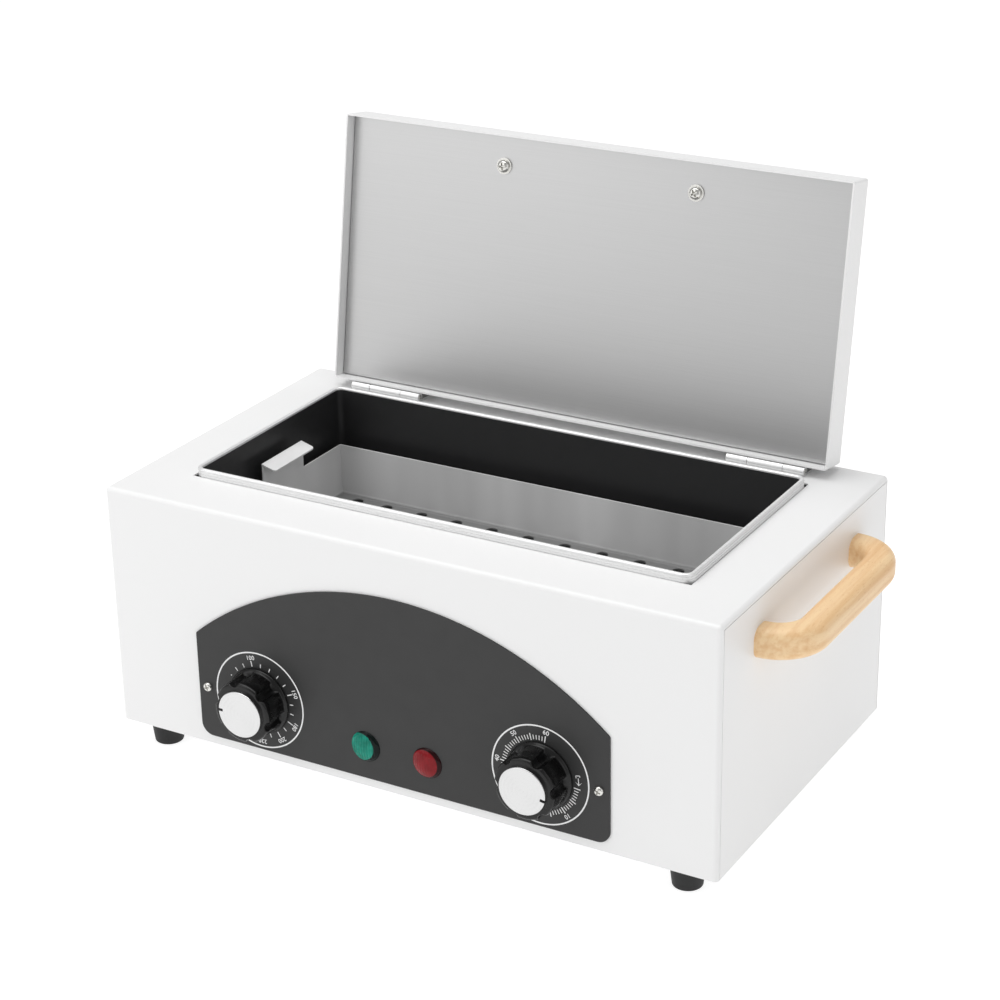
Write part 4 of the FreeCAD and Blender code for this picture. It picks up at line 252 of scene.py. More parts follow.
@dataclass(frozen=True)
class Finish:
    """A surface with one base colour; the others build on it.

    Args:
        title: Name of the material.
        base: Base colour as sRGB hex.
        roughness: Mean roughness.
        metallic: One for a bare metal.
        ior: Index of refraction of a material that isn't a metal.
        coat: Weight of a clear coat.
    """

    title: str
    base: str
    roughness: float
    metallic: float = 0.0
    ior: float = 1.5
    coat: float = 0.0
    coat_roughness: float = 0.1

    def build(self) -> bpy.types.Material:
        """Make the material.

        Returns:
            A material with its shader and its surface detail.
        """
        material = bpy.data.materials.new(self.title)
        material.use_nodes = True
        material.diffuse_color = linear(self.base)
        tree = material.node_tree
        shader = next(node for node in tree.nodes if node.type == "BSDF_PRINCIPLED")
        values: dict[str, object] = {
            "Base Color": linear(self.base),
            "Roughness": self.roughness,
            "Metallic": self.metallic,
            "Coat Weight": self.coat,
            "Coat Roughness": self.coat_roughness,
        }
        if not self.metallic:
            values["IOR"] = self.ior
        for name, value in values.items():
            shader.inputs[name].default_value = value
        place = add_node(tree, "ShaderNodeTexCoord").outputs["Object"]
        self.detail(Surface(tree, shader, place))
        return material

    def detail(self, surface: Surface) -> None:
        """Add the surface detail; a plain finish has none."""


@dataclass(frozen=True)
class PowderCoat(Finish):
    """Polyester powder baked on steel: an even film with a faint orange peel that softens reflections."""

    peel_mm: float = 2.2
    relief_mm: float = 0.006
    cloud_mm: float = 60.0
    unevenness: float = 0.04

    def detail(self, surface: Surface) -> None:
        """Orange peel, and a film that is a little uneven in gloss."""
        surface.emboss(surface.speckle(self.peel_mm), self.relief_mm)
        surface.gloss(surface.speckle(self.cloud_mm), self.roughness, self.unevenness)


@dataclass(frozen=True)
class BrushedSteel(Finish):
    """Stainless sheet with a drawn polish: fine lines one way, which stretch its reflections across them."""

    grain: Grain = Grain.X
    line_mm: float = 0.3
    run_mm: float = 60.0
    dark: str = "#BDBDBB"
    light: str = "#C9C9C7"
    share: Pair = (0.15, 0.85)
    relief_mm: float = 0.001
    unevenness: float = 0.03

    def detail(self, surface: Surface) -> None:
        """Lines in colour, gloss and height, coarser than the real 0.1 mm so that they show.

        Args:
            surface: The material's nodes.
        """
        lines = surface.streaks(self.grain, self.line_mm, self.run_mm)
        surface.join("Base Color", surface.tint(lines, self.dark, self.light, self.share))
        surface.gloss(lines, self.roughness, self.unevenness)
        surface.emboss(lines, self.relief_mm)


@dataclass(frozen=True)
class DrawnTray(BrushedSteel):
    """Stainless sheet drawn to a tray: painted reflection bands up its walls, and a floor darkened by painted
    shade.

    Args:
        floor_m: Height up to which the surface counts as the floor.
    """

    floor_m: float = 0.0
    # Colour of the painted shade on the tray's floor.
    painted_floor_shade: str = "#828282"

    def detail(self, surface: Surface) -> None:
        """Painted reflection bands on the walls, over a floor darkened by painted shade.

        Args:
            surface: The material's nodes.
        """
        super().detail(surface)
        # The wall colour here is the parent's lines, drawn as broad painted reflection bands.
        bands = surface.shader.inputs["Base Color"].links[0].from_socket
        height = add_node(surface.tree, "ShaderNodeSeparateXYZ", {"Vector": surface.place}).outputs["Z"]
        above = surface.ranged(height, (self.floor_m, self.floor_m + MM))
        # Below floor_m the colour turns to the painted floor shade.
        surface.join("Base Color", surface.blend(above, self.painted_floor_shade, bands))


@dataclass(frozen=True)
class SpunAluminium(Finish):
    """Aluminium turned on its face: rings round the axis, which gather the light in two bright fans."""

    ring_mm: float = 0.35
    wobble: float = 0.6
    octaves: float = 2.0
    relief_mm: float = 0.0005
    unevenness: float = 0.03
    anisotropy: float = 0.9
    centre: Point = (0.0, 0.0, 0.0)

    def detail(self, surface: Surface) -> None:
        """Turning marks as rings about the knob's axis, and highlights that run out from it.

        Args:
            surface: The material's nodes.
        """
        surface.shader.inputs["Anisotropic"].default_value = self.anisotropy
        tangent = add_node(surface.tree, "ShaderNodeTangent", direction_type="RADIAL", axis="Y")
        surface.join("Tangent", tangent.outputs["Tangent"])
        links = {"Vector": surface.mapped({"Location": [-value for value in self.centre]})}
        scale = per_metre(self.ring_mm) / WAVE_FACTOR
        sockets = {"Scale": scale, "Distortion": self.wobble, "Detail": self.octaves}
        settings = {"wave_type": "RINGS", "rings_direction": "Y"}
        rings = add_node(surface.tree, "ShaderNodeTexWave", links, sockets, **settings).outputs["Fac"]
        surface.emboss(rings, self.relief_mm)
        surface.gloss(rings, self.roughness, self.unevenness)


@dataclass(frozen=True)
class Moulding(Finish):
    """A moulded plastic, rubber or ceramic: a tool texture, and a gloss that varies slowly."""

    texture_mm: float = 0.6
    octaves: float = 4.0
    relief_mm: float = 0.004
    cloud_mm: float = 9.0
    unevenness: float = 0.04

    def detail(self, surface: Surface) -> None:
        """Tool texture in height, cloudy gloss."""
        surface.emboss(surface.speckle(self.texture_mm, self.octaves), self.relief_mm)
        surface.gloss(surface.speckle(self.cloud_mm), self.roughness, self.unevenness)


@dataclass(frozen=True)
class TintedLens(Finish):
    """Clear acrylic dyed through: its ribbed face gathers light, and a painted shade darkens its wall, mostly
    on the right.

    Args:
        cloud_mm: Size of the clouds of dark and light in the face.
        centre: Middle of the lens.
        face_mm: Radius of the face.
        edge_mm: Width of the change from the face to the wall.
        aside_mm: How far the face lies to the left, so that the painted shade falls on its right.
    """

    cloud_mm: float = 5.0
    dark: str = "#0C5A4C"
    light: str = "#2FA08A"
    # Colour of the painted shade on the lens's wall.
    wall: str = "#04100E"
    centre: Point = (0.0, 0.0, 0.0)
    face_mm: float = 7.4
    edge_mm: float = 0.4
    aside_mm: float = 2.0

    def detail(self, surface: Surface) -> None:
        """Depth of colour that varies as in a thick moulding, and a painted shade round the face.

        Args:
            surface: The material's nodes.
        """
        face = surface.tint(surface.speckle(self.cloud_mm), self.dark, self.light, NOISE_REACH)
        # The face is set to the left, so the painted shade round it lies mostly on the right.
        shift = (self.aside_mm * MM - self.centre[0], 0.0, -self.centre[2])
        links = {"Vector": surface.mapped({"Location": shift, "Scale": (1.0, 0.0, 1.0)})}
        reach = add_node(surface.tree, "ShaderNodeVectorMath", links, operation="LENGTH").outputs["Value"]
        painted_shade_mask = surface.ranged(reach, (self.face_mm * MM, (self.face_mm + self.edge_mm) * MM))
        surface.join("Base Color", surface.blend(painted_shade_mask, face, self.wall))


@dataclass(frozen=True)
class Beech(Finish):
    """Steamed beech under a thin clear lacquer: pale straight grain with short darker flecks."""

    grain: Grain = Grain.Y
    early: str = "#F3D2A4"
    late: str = "#E6BB88"
    bands: Pair = (0.32, 0.62)
    ring_mm: float = 3.2
    run_mm: float = 90.0
    fleck: str = "#C99C6C"
    fleck_bands: Pair = (0.28, 0.42)
    fleck_mm: float = 0.45
    fleck_run_mm: float = 3.0
    fleck_share: float = 0.3
    relief_mm: float = 0.006

    def detail(self, surface: Surface) -> None:
        """Growth bands along the grain, with flecks and pores between them.

        Args:
            surface: The material's nodes.
        """
        rings = surface.streaks(self.grain, self.ring_mm, self.run_mm)
        flecks = surface.streaks(self.grain, self.fleck_mm, self.fleck_run_mm)
        wood = surface.tint(rings, self.late, self.early, self.bands)
        spots = surface.tint(flecks, self.fleck, "#FFFFFF", self.fleck_bands)
        surface.join("Base Color", surface.blend(self.fleck_share, wood, spots, "MULTIPLY"))
        surface.emboss(flecks, self.relief_mm)


@dataclass(frozen=True)
class GalvanisedSheet(Finish):
    """Hot dipped zinc: large frozen crystals, each with a grey of its own."""

    spangle_mm: float = 9.0
    dark: str = "#83888C"
    light: str = "#B4B9BC"
    glosses: Pair = (0.32, 0.52)

    def detail(self, surface: Surface) -> None:
        """Spangles in colour and gloss.

        Args:
            surface: The material's nodes.
        """
        sockets = {"Scale": per_metre(self.spangle_mm)}
        cells = add_node(surface.tree, "ShaderNodeTexVoronoi", {"Vector": surface.place}, sockets)
        links = {"Color": cells.outputs["Color"]}
        grey = add_node(surface.tree, "ShaderNodeSeparateColor", links).outputs["Red"]
        surface.join("Base Color", surface.tint(grey, self.dark, self.light, (0.0, 1.0)))
        surface.join("Roughness", surface.ranged(grey, (0.0, 1.0), self.glosses))


@dataclass(frozen=True)
class MineralWool(Finish):
    """Pressed mineral wool: matte fibres in a binder, lighter and darker in tufts."""

    fibre_mm: float = 0.8
    fibre_run_mm: float = 12.0
    relief_mm: float = 0.2
    tuft_mm: float = 14.0
    octaves: float = 5.0
    dark: str = "#A79B72"
    light: str = "#D8CEA8"

    def detail(self, surface: Surface) -> None:
        """Fibres in height, tufts in colour.

        Args:
            surface: The material's nodes.
        """
        surface.emboss(surface.streaks(Grain.X, self.fibre_mm, self.fibre_run_mm), self.relief_mm)
        tufts = surface.speckle(self.tuft_mm, self.octaves)
        surface.join("Base Color", surface.tint(tufts, self.dark, self.light, NOISE_REACH))


@dataclass(frozen=True)
class StudioFloor(Finish):
    """A seamless paper floor, lit from below so that it stays white with only a faint shadow."""

    glow: float = 0.8

    def detail(self, surface: Surface) -> None:
        """The light through the paper."""
        surface.shader.inputs["Emission Color"].default_value = linear("#FFFFFF")
        surface.shader.inputs["Emission Strength"].default_value = self.glow


WHITE_COAT = PowderCoat("powder_coated_steel", "#EDEDED", 0.38)
PANEL_COAT = Moulding("satin_black_enamel", "#303030", 0.45, ior=1.4, texture_mm=0.5, relief_mm=0.002)
# The inside of the tank is given a near-black colour.
TANK_NEAR_BLACK = Moulding("near_black_tank", "#262627", 0.42, texture_mm=1.0, relief_mm=0.002)
LINER_STEEL = BrushedSteel("brushed_stainless_liner", "#C6C6C6", 0.38, 1.0, dark="#C2C2C2", light="#CACACA")
# Broad light and dark bands up the tray's walls: a painted reflection.
TRAY_PAINTED_REFLECTION_BANDS = {"grain": Grain.Z, "line_mm": 55.0, "run_mm": 600.0, "dark": "#BEBEBE", "light": "#FAFAFA"}
TRAY_STEEL = DrawnTray("satin_stainless_tray", "#D6D6D6", 0.5, 0.15, relief_mm=0.0, **TRAY_PAINTED_REFLECTION_BANDS)
RIM_STEEL = BrushedSteel("polished_stainless_rim", "#F2F2F2", 0.3, 0.5, dark="#E6E6E6", light="#F6F6F6")
PLATED = Moulding(
    "nickel_plated_steel", "#D9D8D4", 0.2, 1.0, texture_mm=0.4, relief_mm=0.001, unevenness=0.05
)
HINGE_PLATE = Moulding("satin_hinge_steel", "#EDEDED", 0.42, 1.0, texture_mm=2.0, relief_mm=0.001)
KNOB_PLASTIC = Moulding("glossy_phenolic", "#060606", 0.26, ior=1.42, texture_mm=3.0, relief_mm=0.001)
BLACK_MOULDING = Moulding("black_nylon", "#17181A", 0.5, texture_mm=0.5, relief_mm=0.008)
RUBBER = Moulding("nitrile_rubber", "#111112", 0.62, texture_mm=0.8, relief_mm=0.02)
CERAMIC = Moulding("steatite", "#EEEAE0", 0.3, texture_mm=2.0, relief_mm=0.01)
MICA = Moulding("mica_sheet", "#BFAF86", 0.45, texture_mm=3.0, relief_mm=0.02)
BRASS = Moulding("bare_brass", "#C9A35A", 0.28, 1.0, texture_mm=0.5, relief_mm=0.002)
FUSE_GLASS = Moulding("fuse_glass", "#DDE2E0", 0.1, texture_mm=3.0, relief_mm=0.001)
INK = Moulding("white_screen_ink", "#F2F2F2", 0.55, texture_mm=0.3, relief_mm=0.002)
GALVANISED = GalvanisedSheet("galvanised_sheet", "#A0A5A8", 0.42, 1.0)
WOOL = MineralWool("mineral_wool", "#CBBF98", 0.95)
# Both lenses carry a painted shade on their wall, in the wall colour.
GREEN_LENS = TintedLens("green_acrylic", "#147463", 0.08, ior=1.25, dark="#0E6B5A", light="#1F8F7A")
RED_LENS = TintedLens(
    "red_acrylic", "#74161B", 0.08, ior=1.25, dark="#74181D", light="#881F25", wall="#240507", aside_mm=0.9
)
BEECH_ACROSS = Beech("lacquered_beech_across", "#E8C492", 0.45, coat=0.1, grain=Grain.X)
BEECH_ALONG = Beech("lacquered_beech_along", "#E8C492", 0.45, coat=0.1, grain=Grain.Y)


# Meshes


@dataclass
class Sheet:
    """A mesh under construction.

    Args:
        points: Corners in metres.
        faces: Corner numbers of each face.
    """

    points: list[Vector] = field(default_factory=list)
    faces: list[tuple[int, ...]] = field(default_factory=list)

    def strip(self, rings: Sequence[Sequence[Vector]]) -> None:
        """Join rings of equal length with quads.

        Args:
            rings: The rings, whose points start at one side.
        """
        start = len(self.points)
        count = len(rings[0])
        for ring in rings:
            self.points.extend(ring)
        for row in range(len(rings) - 1):
            low, high = start + row * count, start + (row + 1) * count
            for column in range(count):
                beside = (column + 1) % count
                self.faces.append((low + column, low + beside, high + beside, high + column))

    def close(self, ring: Sequence[Vector], middle: Vector) -> None:
        """Fill a ring with a fan to its middle.

        Args:
            ring: Its points in order.
            middle: The point that the fan meets in.
        """
        start = len(self.points)
        self.points.extend(ring)
        self.points.append(middle)
        count = len(ring)
        for column in range(count):
            self.faces.append((start + column, start + (column + 1) % count, start + count))

    def patch(self, corners: Sequence[Vector]) -> None:
        """Add one flat face.

        Args:
            corners: Its corners in order.
        """
        start = len(self.points)
        self.points.extend(corners)
        self.faces.append(tuple(range(start, start + len(corners))))

    def merge(self, other: "Sheet", place: Matrix) -> None:
        """Add a copy of another mesh at a place.

        Args:
            other: The mesh.
            place: Where its own frame lies in this one.
        """
        start = len(self.points)
        self.points.extend(place @ point for point in other.points)
        self.faces.extend(tuple(start + index for index in face) for face in other.faces)

    def piece(self, name: str, place: Matrix, finish: Finish, smooth_deg: float = 35.0) -> bpy.types.Object:
        """Make the object.

        Args:
            name: Name of the piece.
            place: Where the mesh's own frame lies in the row frame.
            finish: Its finish.
            smooth_deg: Edges flatter than this are shaded smooth.

        Returns:
            The object, with its place in its mesh.
        """
        mesh = bpy.data.meshes.new(name)
        mesh.from_pydata([place @ point for point in self.points], [], self.faces)
        mesh.validate()
        thing = bpy.data.objects.new(name, mesh)
        bpy.context.scene.collection.objects.link(thing)
        with bpy.context.temp_override(object=thing, active_object=thing, selected_editable_objects=[thing]):
            weld = thing.modifiers.new("weld", "WELD")
            weld.merge_threshold = WELD_MM * MM
            bpy.ops.object.modifier_apply(modifier=weld.name)
            bpy.ops.object.shade_smooth_by_angle(angle=math.radians(smooth_deg))
        thing.data.materials.append(finish.build())
        return thing


def ring_of(radius: float, height: float, count: int) -> list[Vector]:
    """Points on a circle about the Z axis."""
    turns = [2 * math.pi * step / count for step in range(count)]
    return [Vector((radius * math.cos(turn), radius * math.sin(turn), height)) for turn in turns]


def blend_low(first: float, second: float, width: float) -> float:
    """The lower of two values, with a rounded change between them."""
    share = max(width - abs(first - second), 0.0) / width
    return min(first, second) - share * share * width / 4


def ease(value: float, low: float, high: float) -> float:
    """A smooth step from zero at low to one at high."""
    share = min(max((value - low) / (high - low), 0.0), 1.0)
    return share * share * (3 - 2 * share)


def corners_of(node: str) -> tuple[Vector, Vector]:
    """The least and the greatest corner of a node's box."""
    low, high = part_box(node)
    return Vector(low), Vector(high)


def on_panel(node: str) -> Matrix:
    """The place on the front panel behind the middle of a node, Z outwards.

    Args:
        node: Name of the node.

    Returns:
        The place in the row frame.
    """
    low, high = corners_of(node)
    middle = (low + high) / 2
    return Matrix.Translation((middle.x, corners_of("front_panel")[0].y, middle.z)) @ FACING


def dress(finish: Finish, *nodes: str) -> None:
    """Give CAD nodes one finish.

    Args:
        finish: The finish.
        *nodes: Names of the nodes.
    """
    material = finish.build()
    for name in nodes:
        slots = frame["nodes"][name].data.materials
        slots.clear()
        slots.append(material)
    LOG.info("%s on %s", finish.title, ", ".join(nodes))


@dataclass
class Relief:
    """A round piece whose face follows a height: a lens or a screw head.

    Args:
        rings: Rings from the middle to the edge.
        segments: Points on a ring.
        face: Height in mm at a point in mm.
    """

    radius_mm: float
    rings: int
    segments: int
    face: HeightAt

    def sheet(self, shank_mm: Pair | None = None) -> Sheet:
        """Build the face, the edge and the back, and a shank where there is one.

        Args:
            shank_mm: Radius and length of the shank behind the piece.

        Returns:
            The mesh in its own frame, Z outwards.
        """
        sheet = Sheet()
        rows = []
        for ring in range(1, self.rings + 1):
            radius = self.radius_mm * math.sin(math.pi / 2 * ring / self.rings)
            row = ring_of(radius, 0.0, self.segments)
            for point in row:
                point.z = self.face(point.x, point.y)
            rows.append([point * MM for point in row])
        sheet.close(rows[0], Vector((0, 0, self.face(0.0, 0.0) * MM)))
        foot = ring_of(self.radius_mm * MM, 0.0, self.segments)
        sheet.strip(rows + [foot])
        if shank_mm is None:
            sheet.close(foot, Vector((0, 0, 0)))
            return sheet
        radius, length = (value * MM for value in shank_mm)
        neck = ring_of(radius, 0.0, self.segments)
        tip = ring_of(radius, -length, self.segments)
        sheet.strip([foot, neck, tip])
        sheet.close(tip, Vector((0, 0, -length)))
        return sheet


# Sub-assemblies


@dataclass
class Casing:
    """The painted housing on its four feet."""

    def finish(self) -> None:
        """Dress the shell, the side panels, the base, the feet and their fixings."""
        feet = [f"foot_{end}_{side}" for end in ("front", "rear") for side in ("left", "right")]
        dress(WHITE_COAT, "outer_shell", "side_panel_left", "side_panel_right")
        dress(GALVANISED, "base_plate")
        dress(RUBBER, *feet)
        dress(PLATED, "base_screws", "foot_screws", "foot_nuts", "earth_stud", "side_handle_screws")
        dress(CERAMIC, "terminal_block")
        dress(BEECH_ALONG, "side_handle_left", "side_handle_right")


@dataclass
class Chamber:
    """The heated tank with its rim, its insulation and the tray.

    Args:
        floor_mm: Top of the tray's floor over its pressed feet.
    """

    floor_mm: float = 7.6

    def finish(self) -> None:
        """Dress the rim, the tank, the tray and what heats them."""
        dress(RIM_STEEL, "tank_rim")
        dress(TANK_NEAR_BLACK, "inner_tank")
        dress(replace(TRAY_STEEL, floor_m=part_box("tray")[0][2] + self.floor_mm * MM), "tray")
        dress(GALVANISED, "chamber_jacket", "heater_clamp")
        dress(WOOL, "chamber_insulation")
        dress(MICA, "heater_element")
        dress(PLATED, "heater_studs", "heater_nuts")
        dress(BLACK_MOULDING, "thermal_cutout")
        dress(BRASS, "thermostat_capillary")


@dataclass
class Hinges:
    """Two butt hinges between the casing and the lid."""

    def finish(self) -> None:
        """Dress the leaves, the pins and the rivets."""
        leaves = [f"hinge_{side}_{part}_leaf" for side in ("left", "right") for part in ("base", "lid")]
        dress(HINGE_PLATE, *leaves)
        dress(PLATED, "hinge_pins", "hinge_base_rivets", "hinge_lid_rivets")


@dataclass
class Inlet:
    """The fused power inlet in the rear wall."""

    def finish(self) -> None:
        """Dress the housing, the drawer, the contacts and the screws."""
        dress(BLACK_MOULDING, "inlet_housing", "fuse_drawer")
        dress(BRASS, "inlet_pins")
        dress(PLATED, "inlet_screws")
        dress(FUSE_GLASS, "fuse")


@dataclass(frozen=True)
class PanHead:
    """A pan head screw with a cross recess.

    Args:
        head_mm: Radius of the head.
        tall_mm: Height of the head.
        shank_mm: Radius and length of the shank.
        arm_mm: Half length of an arm of the cross.
        arm_wide_mm: Half width of an arm.
        recess_mm: Depth of the cross.
        slope: Shares of an arm's length and width at which its slopes start.
    """

    head_mm: float = 2.7
    tall_mm: float = 1.9
    shank_mm: Pair = (1.5, 6.0)
    arm_mm: float = 1.5
    arm_wide_mm: float = 0.36
    recess_mm: float = 1.0
    slope: Pair = (0.85, 0.6)
    rings: int = 26
    segments: int = 96

    def height(self, x: float, y: float) -> float:
        """Height of the head at a point, in mm.

        Args:
            x: Place across the head in mm.
            y: Place up the head in mm.

        Returns:
            The height over the foot of the head.
        """
        share = min(math.hypot(x, y) / self.head_mm, 1.0)
        dome = self.tall_mm * (1 - share**4) ** 0.5
        length, width = self.slope
        along = 1 - ease(max(abs(x), abs(y)), self.arm_mm * length, self.arm_mm)
        across = 1 - ease(min(abs(x), abs(y)), self.arm_wide_mm * width, self.arm_wide_mm)
        return max(dome - self.recess_mm * along * across, 0.0)

    def sheet(self) -> Sheet:
        """The screw in its own frame, its head towards +Z."""
        return Relief(self.head_mm, self.rings, self.segments, self.height).sheet(self.shank_mm)


@dataclass(frozen=True)
class Ticks:
    """Printed ticks of one length, at angles clockwise from the top."""

    angles: Sequence[float]
    inner_mm: float
    outer_mm: float
    line_mm: float


@dataclass(frozen=True)
class TurnMark:
    """The small printed arrow and hook that show which way to turn.

    Args:
        arrow_deg: Start and tip of the arrow.
        steps: Straight parts of it.
        head_mm: Half width of its head.
        hook: Corners of the hook, in degrees on from its place and mm outwards.
    """

    radius_mm: float = 21.8
    arrow_deg: Pair = (80.0, 91.3)
    steps: int = 6
    line_mm: float = 0.45
    head_deg: float = 5.5
    head_mm: float = 1.9
    hook_deg: float = 76.5
    hook_line_mm: float = 0.4
    hook: tuple[Pair, ...] = ((3.5, -1.1), (0, -1.1), (0, 1.1), (2.2, 1.1))


@dataclass
class Dial:
    """A printed ring with ticks and plain numbers round a knob.

    Args:
        name: Name of the print.
        centre: Knob axis on the panel.
        numbers: Number texts with their angle, clockwise from the top.
        ticks: The ticks, in a group for each length.
        number_mm: Radius of the numbers.
        mark: The arrow and hook, if any.
        ring_mm: Radius of the ring.
        tall_mm: Height of the numbers.
        cap_share: That height as a share of the type size.
        bold_mm: How far their outlines are set out.
        spacing: Distance of their signs against the type's own.
        proud_mm: Height of the print over the panel.
    """

    name: str
    centre: Vector
    numbers: Sequence[tuple[str, float]]
    ticks: Sequence[Ticks]
    number_mm: float
    mark: TurnMark | None = None
    ring_mm: float = 27.4
    ring_line_mm: float = 0.8
    segments: int = 180
    tall_mm: float = 2.5
    cap_share: float = 0.72
    bold_mm: float = 0.05
    spacing: float = 1.05
    curve_steps: int = 4
    proud_mm: float = 0.06

    def at(self, angle: float, radius_mm: float) -> Vector:
        """A point on the dial, clockwise from the top."""
        turn = math.radians(angle)
        return Vector((radius_mm * math.sin(turn), radius_mm * math.cos(turn), 0)) * MM

    def bar(self, sheet: Sheet, start: Vector, end: Vector, width_mm: float) -> None:
        """Print a straight line between two points.

        Args:
            sheet: The mesh of the print.
            start: The first point.
            end: The second point.
            width_mm: Width of the line.
        """
        along = (end - start).normalized()
        side = Vector((-along.y, along.x, 0)) * (width_mm * MM / 2)
        sheet.patch([start - side, end - side, end + side, start + side])

    def text(self, sheet: Sheet, words: str, angle: float) -> None:
        """Print a number with its top outwards.

        Args:
            sheet: The mesh of the print.
            words: The number.
            angle: Its angle, clockwise from the top.
        """
        curve = bpy.data.curves.new("number", "FONT")
        curve.body = words
        curve.size = self.tall_mm * MM / self.cap_share
        curve.align_x = curve.align_y = "CENTER"
        curve.offset = self.bold_mm * MM
        curve.space_character = self.spacing
        curve.resolution_u = self.curve_steps
        holder = bpy.data.objects.new("number", curve)
        bpy.context.scene.collection.objects.link(holder)
        mesh = bpy.data.meshes.new_from_object(holder.evaluated_get(bpy.context.evaluated_depsgraph_get()))
        faces = [tuple(face.vertices) for face in mesh.polygons]
        signs = Sheet([vertex.co for vertex in mesh.vertices], faces)
        turned = Matrix.Rotation(-math.radians(angle), 4, "Z")
        sheet.merge(signs, Matrix.Translation(self.at(angle, self.number_mm)) @ turned)
        bpy.data.objects.remove(holder)
        bpy.data.curves.remove(curve)
        bpy.data.meshes.remove(mesh)

    def line(self, sheet: Sheet, points: Sequence[Vector], width_mm: float) -> None:
        """Print a line through points."""
        for start, end in zip(points, points[1:]):
            self.bar(sheet, start, end, width_mm)

    def turn_mark(self, sheet: Sheet, mark: TurnMark) -> None:
        """Print the arrow and the hook.

        Args:
            sheet: The mesh of the print.
            mark: Their sizes.
        """
        first, last = mark.arrow_deg
        turns = [first + (last - first) * step / mark.steps for step in range(mark.steps)]
        shaft = [self.at(turn, mark.radius_mm) for turn in turns]
        self.line(sheet, shaft, mark.line_mm)
        tip = self.at(last, mark.radius_mm)
        radii = [mark.radius_mm + side * mark.head_mm for side in (-1, 1)]
        near, far = (self.at(last - mark.head_deg, radius) for radius in radii)
        sheet.patch([near, tip, far, shaft[-1]])
        hook = [self.at(mark.hook_deg + turn, mark.radius_mm + out) for turn, out in mark.hook]
        self.line(sheet, hook, mark.hook_line_mm)

    def build(self) -> bpy.types.Object:
        """Print the dial on the panel.

        Returns:
            The print, riding on the housing.
        """
        sheet = Sheet()
        edges = [self.ring_mm + side * self.ring_line_mm / 2 for side in (1, -1)]
        sheet.strip([ring_of(edge * MM, 0.0, self.segments) for edge in edges])
        for group in self.ticks:
            for angle in group.angles:
                start, end = (self.at(angle, radius) for radius in (group.inner_mm, group.outer_mm))
                self.bar(sheet, start, end, group.line_mm)
        for words, angle in self.numbers:
            self.text(sheet, words, angle)
        if self.mark:
            self.turn_mark(sheet, self.mark)
        place = Matrix.Translation(self.centre + Vector((0, -self.proud_mm * MM, 0))) @ FACING
        piece = sheet.piece(self.name, place, INK)
        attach(piece, Body.HOUSING.value)
        LOG.info("%s printed", self.name)
        return piece


